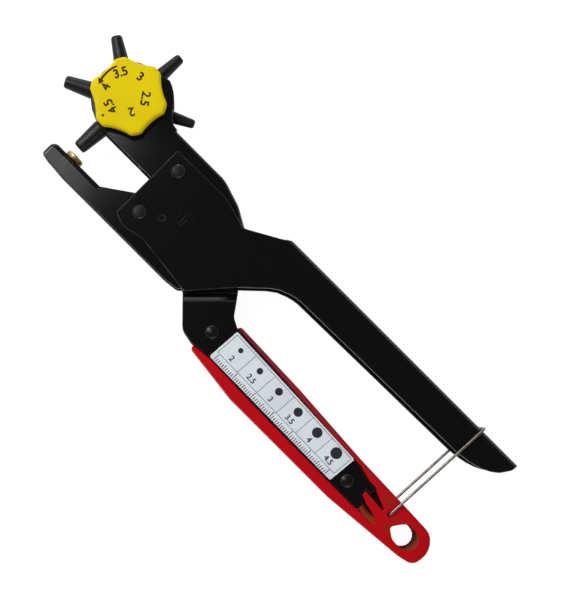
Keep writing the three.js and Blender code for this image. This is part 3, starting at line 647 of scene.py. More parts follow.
def revolve(profile: Profile, segments: int, change: np.ndarray | None = None,
            share: Sequence[float] = ()) -> Shape:
    """Closed surface of revolution about Z, round or with a rim that changes round the axis.

    Each point is (r cos t, r sin t, height), with t going once round and
    r = radius + share x change(t). A profile that starts and ends on the axis is closed by
    fans there; any other closes on itself.

    Args:
        profile: Radius and height of each ring.
        segments: Steps round the axis.
        change: What is added to the radius at each step, or nothing.
        share: How much of the change each ring of the profile takes.

    Returns:
        Points and faces.
    """
    rings = np.array(profile, dtype=float)
    on_axis = rings[0, 0] == 0 and rings[-1, 0] == 0
    body = rings[1:-1] if on_axis else rings
    turn = round_steps(segments)
    radius = np.repeat(body[:, :1], segments, axis=1)
    if change is not None:
        radius = radius + np.array(share)[1:-1, None] * change
    height = np.repeat(body[:, 1:], segments, axis=1)
    points = np.stack([radius * np.cos(turn), radius * np.sin(turn), height], axis=-1)
    points = points.reshape(-1, 3)
    faces = grid_faces(len(body), segments, not on_axis)
    if on_axis:
        low, high = len(points), len(points) + 1
        points = np.vstack([points, [0, 0, rings[0, 1]], [0, 0, rings[-1, 1]]])
        last = (len(body) - 1) * segments
        for step in range(segments):
            ahead = (step + 1) % segments
            faces += [(low, ahead, step), (high, last + step, last + ahead)]
    return points, faces


def ring_runs(profile: Profile, segments: int) -> np.ndarray:
    """Distance along a profile that closes on itself, for each point that revolve makes of it."""
    steps = np.linalg.norm(np.diff(np.array(profile, dtype=float), axis=0), axis=1)
    return np.repeat(np.concatenate([[0], np.cumsum(steps)]), segments)


def basis(axis: np.ndarray, up: Sequence[float]) -> np.ndarray:
    """Three directions square to each other, as rows: one square to up, a third, and the axis."""
    side = np.cross(up, axis) / np.linalg.norm(np.cross(up, axis))
    return np.array([side, np.cross(axis, side), axis])


def softened(profile: Profile, radius: float, steps: int = 4, closed: bool = False) -> Profile:
    """Rounds the corners of a line in the plane or in space by quadratic curves.

    With s from 0 to 1, each curve is (1 - s)^2 start + 2 s (1 - s) corner + s^2 end.

    Args:
        profile: Corners of the line.
        radius: Distance from a corner at which its rounding starts.
        steps: Pieces of each rounding.
        closed: Whether the last corner joins the first.

    Returns:
        The line with its corners rounded.
    """
    corners = [np.array(corner, dtype=float) for corner in profile]
    count = len(corners)
    rounded: list[tuple[float, ...]] = []
    for index, here in enumerate(corners):
        if not closed and index in (0, count - 1):
            rounded.append(tuple(here))
            continue
        back, ahead = corners[index - 1] - here, corners[(index + 1) % count] - here
        reach = min(radius, 0.45 * np.linalg.norm(back), 0.45 * np.linalg.norm(ahead))
        start = here + back * reach / np.linalg.norm(back)
        end = here + ahead * reach / np.linalg.norm(ahead)
        share = np.linspace(0, 1, steps + 1)[:, None]
        curve = (1 - share) ** 2 * start + 2 * share * (1 - share) * here + share ** 2 * end
        rounded += [tuple(point) for point in curve]
    return rounded


def two_headed(half: Profile) -> Profile:
    """Whole profile of a rivet from that of its front half, which ends on the axis."""
    return [(radius, -height) for radius, height in reversed(half)] + list(half)


def swept(path: np.ndarray, radius: float, sides: int) -> Shape:
    """Round wire along a path, with flat ends.

    Across the path at each of its points stands a ring: point + radius (side cos t + up sin t),
    where side is carried along the path without twist.

    Args:
        path: Points of the path.
        radius: Radius of the wire.
        sides: Corners of a ring.

    Returns:
        Points and faces.
    """
    ahead = np.gradient(path, axis=0)
    ahead /= np.linalg.norm(ahead, axis=1, keepdims=True)
    side = np.array([1.0, 1.0, 1.0])
    turn = round_steps(sides)[:, None]
    rings = []
    for point, direction in zip(path, ahead):
        side = side - direction * (side @ direction)
        side /= np.linalg.norm(side)
        across = np.cos(turn) * side + np.sin(turn) * np.cross(direction, side)
        rings.append(point + radius * across)
    return np.vstack(rings), tube_faces(len(path), sides)


def raised(outline: np.ndarray, low: float, high: float) -> Shape:
    """Thin plate of an anticlockwise outline between two heights."""
    rows = [np.column_stack([outline, np.full(len(outline), height)]) for height in (low, high)]
    return np.vstack(rows), tube_faces(2, len(outline))


def upward(outline: np.ndarray) -> Shape:
    """Flat face of an outline at one height, turned so that it faces +Z.

    Args:
        outline: Its corners in order, either way round.

    Returns:
        Points and the one face.
    """
    x, y = outline[:, 0], outline[:, 1]
    area = np.sum(x * np.roll(y, -1) - y * np.roll(x, -1))
    order = range(len(outline)) if area > 0 else range(len(outline) - 1, -1, -1)
    return outline, [tuple(order)]


def disc(centre: np.ndarray, radius: float, steps: int) -> Shape:
    """Flat round face about a centre."""
    turn = round_steps(steps)
    return upward(centre + np.column_stack([np.cos(turn), np.sin(turn), turn * 0]) * radius)


def joined(shapes: Sequence[Shape]) -> Shape:
    """Several shapes as one, each with its own points.

    Args:
        shapes: The shapes.

    Returns:
        Points and faces of all.
    """
    points, faces, start = [], [], 0
    for shape_points, shape_faces in shapes:
        points.append(shape_points)
        faces += [tuple(corner + start for corner in face) for face in shape_faces]
        start += len(shape_points)
    return np.vstack(points), faces


def figures(words: str, height: float, bold: float, origin: np.ndarray, top: float) -> Shape:
    """Flat shape of figures in bold strokes that lie face up.

    They are six copies of plain ones, each moved by the same small way in its own direction
    and lifted a little, so that the openings of the figures stay open.

    Args:
        words: The figures.
        height: Height of a figure in millimetres.
        bold: How far the strokes are thickened to each side, in millimetres.
        origin: Where their middle goes, in metres.
        top: Angle in the plane, in radians, that their upper side points to.

    Returns:
        Points and faces.
    """
    curve = bpy.data.curves.new("figures", "FONT")
    curve.body = words
    curve.align_x = curve.align_y = "CENTER"
    curve.resolution_u = 4
    holder = bpy.data.objects.new("figures", curve)
    flat = bpy.data.meshes.new_from_object(holder)
    points = np.zeros(len(flat.vertices) * 3)
    flat.vertices.foreach_get("co", points)
    points = points.reshape(-1, 3)
    faces = [tuple(face.vertices) for face in flat.polygons]
    bpy.data.objects.remove(holder)
    bpy.data.curves.remove(curve)
    bpy.data.meshes.remove(flat)
    low, high = points.min(axis=0), points.max(axis=0)
    points = (points - (low + high) / 2) * (height / (high[1] - low[1]))
    sine, cosine = math.sin(top), math.cos(top)
    turn = np.array([(sine, -cosine, 0.0), (cosine, sine, 0.0), UPRIGHT])
    moves = [np.array([bold * math.cos(way), bold * math.sin(way), LIFT * step])
             for step, way in enumerate(round_steps(6))]
    return joined([((points + move) * MM @ turn + origin, faces) for move in moves])


def on_face(u: float, v: float) -> tuple[float, float]:
    """Place on the knob's face, in millimetres, that shows at a pixel of the picture."""
    right, up = (u - UNDER_CAMERA[0]) * FACE_STEP, (UNDER_CAMERA[1] - v) * FACE_STEP
    return CAMERA[0] - right + up, CAMERA[1] - right - up


# Pieces


def linked(name: str, data: bpy.types.ID) -> bpy.types.Object:
    """Puts a new object in the scene, at the origin.

    Args:
        name: Its name.
        data: Its mesh, lamp or camera.

    Returns:
        The object.
    """
    made = bpy.data.objects.new(name, data)
    bpy.context.scene.collection.objects.link(made)
    return made


def shaded(mesh: bpy.types.Mesh, smooth_degrees: float = 40) -> bpy.types.Object:
    """Shades a mesh and puts it in the scene.

    Args:
        mesh: The mesh.
        smooth_degrees: Edges that turn by less are shaded smooth.

    Returns:
        Its object.
    """
    mesh.shade_smooth()
    mesh.set_sharp_from_angle(angle=math.radians(smooth_degrees))
    return linked(mesh.name, mesh)


@dataclass
class Piece:
    """A new piece: its name, its points in metres with their faces, its finish and its shading.

    Edges that turn by less than smooth_degrees are shaded smooth, and run is a number for each
    point, kept for the finish, or nothing.
    """

    name: str
    shape: Shape
    finish: Finish
    smooth_degrees: float = 40
    run: np.ndarray | None = None

    def made(self) -> bpy.types.Object:
        """Makes its object at the origin.

        Returns:
            The object.
        """
        points, faces = self.shape
        mesh = bpy.data.meshes.new(self.name)
        mesh.from_pydata(np.asarray(points).tolist(), [], faces)
        mesh.validate()
        mesh.materials.append(self.finish.material())
        if self.run is not None:
            values = mesh.attributes.new("run", "FLOAT", "POINT").data
            values.foreach_set("value", self.run.astype(np.float32))
        return shaded(mesh, self.smooth_degrees)

    def turned(self, origin: np.ndarray, axis: Sequence[float] = UPRIGHT) -> "Piece":
        """Carries its points from millimetres about Z to an axis through a place.

        Args:
            origin: Where the old origin goes, in metres.
            axis: Direction that Z turns to.

        Returns:
            The piece.
        """
        points, faces = self.shape
        up = (0.0, 1.0, 0.0) if axis == UPRIGHT else UPRIGHT
        self.shape = points * MM @ basis(np.array(axis), up) + origin, faces
        return self

    def fixed(self, body: str, slot: str | None = None, *nodes: str) -> None:
        """Makes it and lets it ride on a body, in place of CAD nodes."""
        fixed_to(self.made(), body, slot, *nodes)


def fixed_to(piece: bpy.types.Object, body: str, slot: str | None = None, *nodes: str) -> None:
    """Lets a piece ride on a body.

    Args:
        piece: The piece.
        body: The body.
        slot: Not used.
        nodes: The CAD nodes that it stands in for, if any.
    """
    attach(piece, body)
    if nodes:
        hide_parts(*nodes)
    LOG.info("%s rides on %s, for %s", piece.name, body, ", ".join(nodes) or "no node")


def dressed(finish: Finish, *nodes: str) -> None:
    """Gives CAD nodes that stay as they are a finish.

    Args:
        finish: The finish.
        nodes: The nodes.
    """
    for name in nodes:
        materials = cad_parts[name].data.materials
        materials.clear()
        materials.append(finish.material())
        LOG.info("%s keeps its shape in %s", name, finish.name)


def eased_copy(node: str, finish: Finish, edge: float, home: tuple[str, str],
               edge_finish: Finish | None = None, holed: bool = False) -> None:
    """Makes a copy of a CAD node whose sharp edges are rounded, and puts it in the node's place.

    Pressing, moulding and paint leave such edges.

    Args:
        node: The CAD node.
        finish: Its finish.
        edge: Width of the rounding in metres.
        home: Its body and its colour slot.
        edge_finish: Finish of the rounded edges and of the sheet's cut faces, or the same.
        holed: Whether flat faces have holes, so that they stay cut into triangles.
    """
    work = bmesh.new()
    work.from_mesh(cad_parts[node].data)
    bmesh.ops.remove_doubles(work, verts=work.verts, dist=WELD)
    bmesh.ops.dissolve_limit(work, angle_limit=FLAT, verts=work.verts, edges=work.edges)
    if holed:
        bmesh.ops.triangulate(work, faces=work.faces, ngon_method="BEAUTY")
    edges = [each for each in work.edges if each.is_manifold and each.calc_face_angle(0) > SHARP]
    made = bmesh.ops.bevel(work, geom=edges, offset=edge, offset_type="OFFSET", segments=3,
                           profile=0.5, affect="EDGES", clamp_overlap=False,
                           material=1 if edge_finish else -1)
    if edge_finish:
        work.normal_update()
        for face in work.faces:
            heights = [corner.co.z for corner in face.verts]
            if abs(face.normal.z) < 0.1 and max(heights) - min(heights) < CUT_FACE:
                face.material_index = 1
    LOG.info("%s: %d edges eased into %d faces", node, len(edges), len(made["faces"]))
    mesh = bpy.data.meshes.new(node + "_eased")
    work.to_mesh(mesh)
    work.free()
    for each in filter(None, (finish, edge_finish)):
        mesh.materials.append(each.material())
    piece = shaded(mesh)
    piece.modifiers.new("flat faces stay flat", "WEIGHTED_NORMAL").keep_sharp = True
    fixed_to(piece, *home, node)


# Sub-assemblies. Their fields are in millimetres and degrees, apart from the widths of edges.


@dataclass
class UpperHandle:
    """Channel of the upper handle and the head's two rivets, which hold everything together."""

    home: tuple[str, str] = ("upper_handle", "black_paint")
    edge: float = 0.4 * MM
    rivets: tuple[tuple[str, float, float], ...] = (
        ("lever_pivot_rivet", 0, 0), ("jaw_pivot_rivet", 0.5, -21))
    rivet_flat: float = 1.9
    rivet_crown: float = 0.04
    rounding: float = 0.18
    facets: int = 48
    rest_half: float = 10.5
    plate_outer: float = 9.1

    def build(self) -> None:
        """Makes the handle and its rivets, with a bevel round the slightly crowned heads."""
        eased_copy("upper_handle", Finishes.PLATE, self.edge, self.home, Finishes.PAINT_EDGE)
        under = self.plate_outer + STAND_OFF
        bevel = self.rest_half - (self.rest_half - under) / 2
        half = [(RIVET_SHANK, under), (RIVET_HEAD, under), (RIVET_HEAD, bevel),
                (self.rivet_flat, self.rest_half - self.rivet_crown), (0, self.rest_half)]
        shape = revolve(softened(two_headed(half), self.rounding), self.facets)
        for node, x, y in self.rivets:
            rivet = Piece(node + "_turned", shape, Finishes.RIVET)
            rivet.turned(at_middle(x, y)).fixed(*self.home, node)


@dataclass
class AnvilJaw:
    """Anvil jaw, its brass anvil and the pins that key it to the plates.

    The anvil's groove has its heights over the web, and its face is hollow by a little: radius
    and depth of each point.
    """

    body: str = "upper_handle"
    edge: float = 0.3 * MM
    anvil_x: float = 32.9
    anvil_face: float = 1.35
    anvil_radius: float = 3.7
    anvil_stem: float = 1.6
    groove: float = 0.12
    groove_heights: tuple[float, float, float] = (0.45, 0.6, 0.75)
    rim_high: float = 0.35
    rim_wide: float = 0.45
    hollow: Profile = ((1.2, 0.02), (0, 0.03))
    rounding: float = 0.16
    facets: int = 64
    web_top: float = 3.25
    web_under: float = 5.5

    def build(self) -> None:
        """Makes the jaw and the anvil, and finishes the pins and the bushes."""
        home = (self.body, "black_paint")
        eased_copy("anvil_jaw", Finishes.JAW, self.edge, home, Finishes.PAINT_EDGE)
        self.anvil()
        dressed(Finishes.PAINT, "anvil_jaw_key_front", "anvil_jaw_key_rear")
        dressed(Finishes.BLACKED, "spring_stop_pin")
        dressed(Finishes.BRIGHT, "lever_pivot_bush", "jaw_pivot_bush")

    def anvil(self) -> None:
        """Makes the anvil: a domed-edge disc with a groove over its foot, riveted to the web."""
        radius, foot, face = self.anvil_radius, -self.web_top, -self.anvil_face
        low, middle, high = (foot + height for height in self.groove_heights)
        profile = [
            (0, -self.web_under), (self.anvil_stem, -self.web_under), (self.anvil_stem, foot),
            (radius, foot), (radius, low), (radius - self.groove, middle), (radius, high),
            (radius, face - self.rim_high), (radius - self.rim_wide, face),
            *((out, face - depth) for out, depth in self.hollow),
        ]
        shape = revolve(softened(profile, self.rounding), self.facets)
        piece = Piece("anvil_turned", shape, Finishes.BRASS)
        piece.turned(at_middle(self.anvil_x, 0), (0.0, -1.0, 0.0))
        piece.fixed(self.body, "brass", "anvil")


@dataclass
class Spring:
    """Return spring: a coil round the lever's bush with a leg on a pin of each side.

    The coil is a helix: radius x (cos a, sin a) round the bush, with a height that grows evenly
    with the angle a, and each leg leaves it along its tangent.
    """

    body: str = "upper_handle"
    foot_body: str = "lower_lever"
    wire: float = 1.1
    radius: float = 5.35
    turns: int = 2
    pitch: float = 1.75
    spread: float = 20
    leg: float = 20
    stop_leg: float = 14
    coil_steps: int = 120
    leg_steps: int = 12
    sides: int = 16

    def build(self) -> None:
        """Makes the spring as one wire that keeps its shape, in place of its CAD node."""
        start = math.pi / 2
        sweep = self.turns * 2 * math.pi + math.radians(self.spread)
        angle = np.linspace(start, start + sweep, self.coil_steps + 1)
        height = ((angle - start) / sweep - 0.5) * self.pitch * (sweep / (2 * math.pi))
        coil = np.column_stack([self.radius * np.cos(angle), self.radius * np.sin(angle), height])
        coil = coil * MM + at_middle(0, 0)
        leg_run = np.linspace(MM, 0, self.leg_steps, endpoint=False)[:, None]
        first = coil[0] + leg_run * np.array([self.stop_leg, 0.0, 0.0])
        way = angle[-1] + math.pi / 2
        last = coil[-1] + leg_run[::-1] * self.leg * np.array([math.cos(way), math.sin(way), 0.0])
        shape = swept(np.vstack([first, coil, last]), self.wire / 2 * MM, self.sides)
        piece = Piece("return_spring_wire", shape, Finishes.BRIGHT).made()
        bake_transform(piece)
        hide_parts("return_spring")
        LOG.info("%s bends between %s and %s", piece.name, self.body, self.foot_body)


@dataclass
class TurretHead:
    """Turret jaw with the wheel, its six punches, the hollow axle and the click of the ball.

    Near its end a punch is wider than its cut by the end walls, at the flare and at the chamfer.
    """

    jaw_body: str = "turret_jaw"
    body: str = "turret"
    edge: float = 0.4 * MM
    wheel_edge: float = 0.25 * MM
    sizes: tuple[float, ...] = (4.5, 4, 3.5, 3, 2.5, 2)
    wheel_radius: float = 14.2
    axle_outer: float = 8.6
    axle_gap: float = 0.3
    reach: float = 26.0
    flare: float = 1.2
    chamfer: float = 0.7
    end_walls: tuple[float, float] = (0.5, 0.42)
    lip: float = 0.15
    rounding: float = 0.16
    facets: int = 48
    ring_low: float = 6.95
    ring_high: float = 7.85
    ring_radius: float = 10.6
    ring_rounding: float = 0.15
    ring_facets: int = 72

    def build(self) -> None:
        """Makes the jaw, the punches and the ring, and finishes the rest."""
        eased_copy("turret_jaw", Finishes.PAINT, self.edge, (self.jaw_body, "black_paint"),
                   Finishes.PAINT_EDGE)
        eased_copy("turret_wheel", Finishes.BLACKED, self.wheel_edge, (self.body, "black_steel"))
        for index, size in enumerate(self.sizes):
            self.punch(size, math.radians(FIRST_ANGLE - index * 360 / PUNCHES))
        self.ring()
        dressed(Finishes.BRIGHT, "turret_axle", "index_ball", "index_spring")
        dressed(Finishes.BLACKED, "index_rivet")

    def punch(self, size: float, angle: float) -> None:
        """Makes one hollow punch: a collar at the wheel, a taper and a chamfered cutting end.

        Args:
            size: Diameter that it cuts, in millimetres.
            angle: Its direction from the turret's centre, in radians.
        """
        cut, foot = size / 2, self.wheel_radius + self.lip
        neck, bore = cut + self.flare / 2, cut + self.lip
        end, edge = (cut + wall for wall in self.end_walls)
        profile = [
            (bore, self.axle_outer + self.axle_gap), (neck, self.axle_outer + self.axle_gap),
            (neck, foot), (cut + self.flare, foot), (cut + self.flare, foot + self.flare),
            (end, self.reach - self.flare), (edge, self.reach - self.chamfer),
            (cut, self.reach), (cut - self.lip, self.reach - self.flare),
            (bore, self.reach - 2 * self.flare),
        ]
        profile = softened(profile, self.rounding, 3, closed=True)
        node = "punch_" + f"{size:g}".replace(".", "_")
        piece = Piece(node + "_turned", revolve(profile, self.facets), Finishes.PUNCH,
                      run=ring_runs(profile, self.facets))
        piece.turned(at_middle(*TURRET), (math.cos(angle), math.sin(angle), 0.0))
        piece.fixed(self.body, "black_steel", node)

    def ring(self) -> None:
        """Makes the ring that holds the axle at the front."""
        inner = self.axle_outer + self.lip
        corners = [(inner, self.ring_low), (self.ring_radius, self.ring_low),
                   (self.ring_radius, self.ring_high), (inner, self.ring_high)]
        shape = revolve(softened(corners, self.ring_rounding, 3, closed=True), self.ring_facets)
        piece = Piece("turret_ring_turned", shape, Finishes.BRIGHT).turned(at_middle(*TURRET))
        piece.fixed(self.body, "bright_steel", "turret_ring")


@dataclass
class WasteBox:
    """Yellow knob over the turret that catches the waste, with the punch sizes on its face.

    Brim and crown are rings of its lower and upper edge: how far each is in from the outer
    radius, how far over the rim's underside or under the top, and its share of the scallops.
    The figures and the dot have their places in the picture, in pixels.
    """

    body: str = "waste_box"
    low: float = 7.4
    top: float = 14.4
    outer: float = 14.6
    inner: float = 12.8
    scallop: float = 21.0
    crest_soft: float = 0.12
    rim_low: float = 10.9
    brim: tuple[Zone, ...] = ((0.6, 0, 1), (0.15, 0.15, 1), (0, 0.5, 1))
    crown: tuple[Zone, ...] = (
        (0, 1.3, 1), (0.12, 0.85, 1), (0.4, 0.42, 1), (0.85, 0.12, 0.97), (1.4, 0.02, 0.94),
        (2, 0, 0.9))
    skirt: float = 12.0
    skirt_bevel: float = 0.3
    wall: float = 1.4
    collar: float = 8.75
    mouth: float = 10.9
    mouth_top: float = 8.15
    facets: int = 240
    face: float = 14.43
    figures: tuple[tuple[str, float, float], ...] = (
        ("3.5", 120.5, 72.2), ("3", 140.5, 76.4), ("2.5", 145.5, 98.6),
        ("2", 131.6, 112), ("4.5", 110.4, 106.5), ("4", 105.5, 86.8))
    figure: float = 3.2
    bold: float = 0.14
    dot: tuple[float, float] = (103, 115.2)
    dot_radius: float = 0.5
    arrow_radius: float = 11.7
    arrow_half: float = 0.44
    arrow_taper: float = 0.7
    arrow_head: float = 1.25
    arrow_start: float = -24.5
    arrow_end: float = 14.0
    arrow_tip: float = 24.4
    arrow_points: int = 25

    def build(self) -> None:
        """Makes the knob and its print."""
        self.shell()
        self.face_print()

    def at(self, radius: float, degrees: float) -> np.ndarray:
        """Point of the print in metres, from its radius and angle round the knob's centre."""
        share = math.cos(math.radians(degrees)), math.sin(math.radians(degrees))
        return at_middle(TURRET[0] + radius * share[0], TURRET[1] + radius * share[1], self.face)

    def scallops(self, turn: np.ndarray) -> np.ndarray:
        """How far the rim draws in from its outer radius at each angle.

        Between two crests the rim follows a circle of the scallop's radius, whose centre lies
        outside the knob: c cos d - sqrt(scallop^2 - (c sin d)^2), with c the centre's distance
        and d the angle from the middle of the scallop. The lesser of that and the outer radius
        holds, blended over a short way so that the crest's corners are rounded.

        Args:
            turn: The angles in radians.

        Returns:
            A length for each, 0 or less.
        """
        share = 2 * math.pi / PUNCHES
        off = np.mod(turn - math.radians(FIRST_ANGLE), share) - share / 2
        away = self.inner + self.scallop
        reach = away * np.cos(off) - np.sqrt(self.scallop ** 2 - (away * np.sin(off)) ** 2)
        soft = self.crest_soft
        return -soft * np.log(np.exp(-reach / soft) + np.exp(-self.outer / soft)) - self.outer

    def shell(self) -> None:
        """Makes the shell: a scalloped rim, soft above, over a round skirt and a cavity."""
        inside, outer, top = self.skirt - self.wall, self.outer, self.top
        ledge, bevel = self.mouth_top + self.wall, self.skirt_bevel
        rings = [
            (0, top - self.wall, 0), (inside, top - self.wall, 0), (inside, ledge, 0),
            (self.collar, ledge, 0), (self.collar, self.mouth_top, 0),
            (self.mouth, self.mouth_top, 0), (self.mouth, self.low, 0),
            (self.skirt - bevel, self.low, 0), (self.skirt, self.low + bevel, 0),
            (self.skirt, self.rim_low, 0),
            *((outer - inward, self.rim_low + rise, share) for inward, rise, share in self.brim),
            *((outer - inward, top - drop, share) for inward, drop, share in self.crown),
            (outer / 2, top, 0), (0, top, 0),
        ]
        change = self.scallops(round_steps(self.facets))
        shape = revolve([each[:2] for each in rings], self.facets, change,
                        [each[2] for each in rings])
        knob = Piece("waste_box_knob", shape, Finishes.YELLOW, 35).turned(at_middle(*TURRET))
        knob.fixed(self.body, "yellow_plastic", "waste_box")

    def face_print(self) -> None:
        """Prints the six sizes, each with its top outward, a turning arrow and a setting dot."""
        dot = at_middle(*on_face(*self.dot), self.face)
        shapes = [self.arrow(), disc(dot, self.dot_radius * MM, 32)]
        for words, *pixel in self.figures:
            x, y = on_face(*pixel)
            top = math.atan2(y - TURRET[1], x - TURRET[0])
            place = at_middle(x, y, self.face)
            shapes.append(figures(words, self.figure, self.bold, place, top))
        Piece("knob_print", joined(shapes), Finishes.KNOB_INK).fixed(self.body)

    def arrow(self) -> Shape:
        """Curved band that tapers to its start, with a head at its end, round the knob's centre.

        Returns:
            Points and the one face.
        """
        turn = np.linspace(self.arrow_start, self.arrow_end, self.arrow_points)
        half = self.arrow_half * np.linspace(self.arrow_taper, 1, self.arrow_points)
        outer, inner = ([self.at(self.arrow_radius + side * each, angle)
                         for each, angle in zip(half, turn)] for side in (1, -1))
        head = [self.at(self.arrow_radius + self.arrow_head, self.arrow_end),
                self.at(self.arrow_radius, self.arrow_tip),
                self.at(self.arrow_radius - self.arrow_head, self.arrow_end)]
        return upward(np.array(outer + head + inner[::-1]))


@dataclass
class LowerLever:
    """Straps, red grip, rivets and pins of the lower lever, and the label on the front strap."""

    body: str = "lower_lever"
    strap_edge: float = 0.35 * MM
    grip_edge: float = 0.3 * MM
    strap_outer: float = 8.0
    dome: float = 1.13
    dome_points: int = 12
    facets: int = 40

    def build(self) -> None:
        """Makes every piece of the lever."""
        home = (self.body, "black_paint")
        for node in ("lever_strap_front", "lever_strap_rear"):
            eased_copy(node, Finishes.STRAP, self.strap_edge, home, Finishes.PAINT_EDGE)
        eased_copy("grip", Finishes.RED, self.grip_edge, (self.body, "red_plastic"), holed=True)
        for node in ("grip_rivet_upper", "grip_rivet_lower"):
            low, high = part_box(node)
            origin = np.array([(low[0] + high[0]) / 2, (low[1] + high[1]) / 2, MIDDLE])
            rivet = Piece(node + "_domed", self.rivet(), Finishes.RIVET, 50)
            rivet.turned(origin).fixed(*home, node)
        dressed(Finishes.BRIGHT, "drive_pin", "spring_pin")
        SizeLabel(self.body).build()

    def rivet(self) -> Shape:
        """Rivet whose heads follow (radius cos a, height + dome sin a) for a from 0 to 90 degrees.

        Returns:
            Points in millimetres about Z, and faces.
        """
        under = self.strap_outer + STAND_OFF
        half = [(RIVET_SHANK, under)]
        half += [(RIVET_HEAD * math.cos(each), under + self.dome * math.sin(each))
                 for each in np.radians(np.linspace(0, 90, self.dome_points))[:-1]]
        return revolve(two_headed(half + [(0, under + self.dome)]), self.facets)


@dataclass
class SizeLabel:
    """Pale sticker on the front strap with plain marks: hole sizes, their numbers and a ruler.

    Its corners go from the near one at the upper end to the far ones and back. Places on it are
    shares of its length, from the upper end, and of its width, from the near side.
    """

    body: str
    corners: Profile = ((-57.65, 5.67), (-56.75, 19.62), (-121.7, 20.5), (-122.75, 8.51))
    rounding: float = 0.8
    height: float = 18.5
    film: float = 0.12
    sizes: tuple[str, ...] = ("2", "2.5", "3", "3.5", "4", "4.5")
    table: tuple[float, float, float, float] = (0.015, 0.985, 0.06, 0.76)
    line_half: float = 0.09
    disc_over: float = 0.28
    figure_over: float = 0.6
    figure: float = 2.2
    bold: float = 0.07
    ticks: int = 61
    first_tick: float = 0.03
    tick_foot: float = 0.985
    tick_lengths: tuple[float, float, float] = (0.2, 0.15, 0.11)
    tick_half: float = 0.15

    def build(self) -> None:
        """Makes the film and its print."""
        outline = np.array(softened(self.corners, self.rounding, closed=True)) * MM
        low, high = self.height + STAND_OFF, self.height + self.film
        film = raised(outline, low * MM, high * MM)
        Piece("size_label", film, Finishes.FILM, 30).fixed(self.body)
        self.marks()

    def across(self, along: float, over: float) -> np.ndarray:
        """Point on the label in metres.

        Args:
            along: Share of its length.
            over: Share of its width.

        Returns:
            The point, a little over the film.
        """
        start, far_start, far_end, end = (np.array(each) for each in self.corners)
        low = start + (end - start) * along
        high = far_start + (far_end - far_start) * along
        return np.array([*(low + (high - low) * over), self.height + self.film + STAND_OFF]) * MM

    def stroke(self, first: tuple[float, float], last: tuple[float, float],
               way: np.ndarray) -> Shape:
        """Thin bar between two places on the label, with half its width as a vector (mm)."""
        foot, head, half = self.across(*first), self.across(*last), np.array([*way, 0]) * MM
        return upward(np.array([foot - half, foot + half, head + half, head - half]))

    def marks(self) -> None:
        """Prints a table with a disc and a number for each size, over a ruler of millimetres."""
        start, far_start, _, end = (np.array(each) for each in self.corners)
        length = np.linalg.norm(end - start)
        way = (end - start) / length
        side = np.array([-way[1], way[0]])
        top = math.atan2(start[1] - far_start[1], start[0] - far_start[0])
        left, right, low, high = self.table
        shapes = [self.stroke((left, over), (right, over), side * self.line_half)
                  for over in (low, high)]
        shapes += [self.stroke((each, low), (each, high), way * self.line_half)
                   for each in np.linspace(left, right, len(self.sizes) + 1)]
        for index, words in enumerate(self.sizes):
            along = left + (index + 0.5) * (right - left) / len(self.sizes)
            place = self.across(along, self.figure_over)
            shapes += [disc(self.across(along, self.disc_over), float(words) / 2 * MM, 40),
                       figures(words, self.figure, self.bold, place, top)]
        ten, five, one = self.tick_lengths
        for tick in range(self.ticks):
            reach = ten if tick % 10 == 0 else five if tick % 5 == 0 else one
            along = self.first_tick + tick / length
            shapes.append(self.stroke((along, self.tick_foot), (along, self.tick_foot - reach),
                                      way * self.tick_half))
        Piece("label_print", joined(shapes), Finishes.LABEL_INK).fixed(self.body)


@dataclass
class Bail:
    """Wire bail that swings on the grip and holds the upper handle down."""

    body: str = "latch_bail"
    pivot: tuple[float, float] = (-146.5, 14.0)
    side: float = 9.85
    inner: float = 4.0
    loop_y: float = -34.05
    lean: float = 2.4
    wire: float = 1.1
    bend: float = 1.6
    sides: int = 20

    def build(self) -> None:
        """Makes the bail as one bent wire."""
        x, y = self.pivot
        loop = x - self.lean
        half = [(x, y, self.inner), (x, y, self.side), (loop, self.loop_y, self.side)]
        corners = half + [(*place, -height) for *place, height in reversed(half)]
        path = np.array(softened(corners, self.bend, 8)) * MM + at_middle(0, 0)
        shape = swept(path, self.wire / 2 * MM, self.sides)
        piece = Piece("latch_bail_wire", shape, Finishes.WIRE)
        piece.fixed(self.body, "bright_steel", "latch_bail")


# Studio


class Lamp(Enum):
    """Square soft lamps: place in metres, size and power."""

    KEY = ((0.7, 0.02, 0.8), 0.5, 7.1)
    SHEEN = ((0.366, 0.043, 1.2), 0.36, 1.4)
    FILL = ((-0.95, 0.65, 0.75), 0.8, 3.5)
    RIM = ((0.8, -0.72, 0.24), 0.4, 2.0)


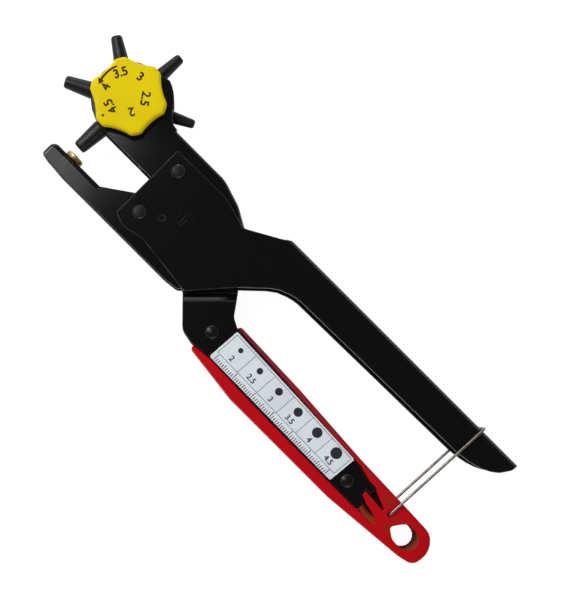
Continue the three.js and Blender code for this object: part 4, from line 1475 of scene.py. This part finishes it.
@dataclass
class Studio:
    """Pale floor, soft lamps, an even world and the photograph's camera, in metres."""

    aim: tuple[float, float, float] = (-0.05, -0.01, 0.01)
    floor_size: float = 6.0
    floor_tone: float = 0.82
    horizon: float = 0.7
    ceiling: float = 0.08
    rise: tuple[float, float] = (0.25, 0.75)
    wash: float = 0.28
    glow: float = 1.17

    def build(self) -> None:
        """Makes the floor, the world, the lamps and the camera."""
        self.floor()
        self.world()
        for lamp in Lamp:
            self.lamp(lamp)
        self.camera()
        bpy.context.scene.view_settings.view_transform = "Standard"

    def floor(self) -> None:
        """Makes a plain white floor that shows white to the camera and keeps the shadow."""
        half, low = self.floor_size, -STAND_OFF * MM
        mesh = bpy.data.meshes.new("floor")
        corners = [(-half, -half, low), (half, -half, low), (half, half, low), (-half, half, low)]
        mesh.from_pydata(corners, [], [(0, 1, 2, 3)])
        ground = bpy.data.materials.new("floor_white")
        ground.use_nodes = True
        bench = Bench(ground.node_tree)
        tone, light = self.floor_tone, {"Color": (1, 1, 1, 1), "Strength": self.glow}
        matt = bench.out("ShaderNodeBsdfDiffuse", inputs={"Color": (tone, tone, tone, 1)})
        glow = bench.out("ShaderNodeEmission", inputs=light)
        mixed = bench.out("ShaderNodeMixShader", inputs={0: bench.seen() * tone, 1: matt, 2: glow})
        bench.node("ShaderNodeOutputMaterial", inputs={"Surface": mixed})
        mesh.materials.append(ground)
        linked("floor", mesh)

    def world(self) -> None:
        """Makes a studio room: white walls round a dimmer ceiling, and an even wash of light."""
        world = bpy.data.worlds.new("studio")
        bpy.context.scene.world = world
        world.use_nodes = True
        bench = Bench(world.node_tree)
        way = bench.out("ShaderNodeTexCoord", output="Generated")
        rise = bench.out("ShaderNodeSeparateXYZ", inputs={0: way}, output="Z").within(*self.rise)
        seen = bench.seen()
        room = self.horizon - rise * (self.horizon - self.ceiling)
        strength = seen * room + (1 - seen) * self.wash
        inputs = {"Color": (1, 1, 1, 1), "Strength": strength}
        back = bench.out("ShaderNodeBackground", inputs=inputs)
        bench.node("ShaderNodeOutputWorld", inputs={"Surface": back})

    @staticmethod
    def stood(data: bpy.types.ID, place: Sequence[float], turn: np.ndarray) -> bpy.types.Object:
        """Puts a lamp or camera in its place.

        Args:
            data: The lamp or camera.
            place: Where it stands.
            turn: Directions of its own X, Y and Z, as rows.

        Returns:
            Its object.
        """
        holder = linked(data.name, data)
        holder.matrix_world = Matrix.Translation(place) @ Matrix(turn.T.tolist()).to_4x4()
        return holder

    def lamp(self, lamp: Lamp) -> None:
        """Makes one square soft lamp that faces the pliers.

        Args:
            lamp: Which lamp.
        """
        place, size, power = lamp.value
        light = bpy.data.lights.new(lamp.name.lower(), "AREA")
        light.shape, light.size, light.energy = "SQUARE", size, power
        back = np.array(place) - np.array(self.aim)
        self.stood(light, place, basis(back / np.linalg.norm(back), UPRIGHT))

    def camera(self) -> None:
        """Makes the camera, straight down on the pliers and turned as in the photo."""
        data = bpy.data.cameras.new("camera")
        data.sensor_width = 36
        data.lens = FOCAL_PIXELS * data.sensor_width / IMAGE_HEIGHT
        data.shift_x = (IMAGE_WIDTH / 2 - UNDER_CAMERA[0]) / IMAGE_HEIGHT
        data.shift_y = (UNDER_CAMERA[1] - IMAGE_HEIGHT / 2) / IMAGE_HEIGHT
        data.clip_start, data.clip_end = 0.01, 100
        turn = np.array([(-DIAGONAL, -DIAGONAL, 0), (DIAGONAL, -DIAGONAL, 0), UPRIGHT])
        stand = [each * MM for each in CAMERA]
        bpy.context.scene.camera = self.stood(data, stand, turn)


def main() -> None:
    """Builds the studio and the pliers from the handle outward."""
    logging.basicConfig(level=logging.INFO, format="%(message)s")
    Studio().build()
    for part in (UpperHandle, AnvilJaw, Spring, TurretHead, WasteBox, LowerLever, Bail):
        part().build()


if __name__ == "__main__":
    main()
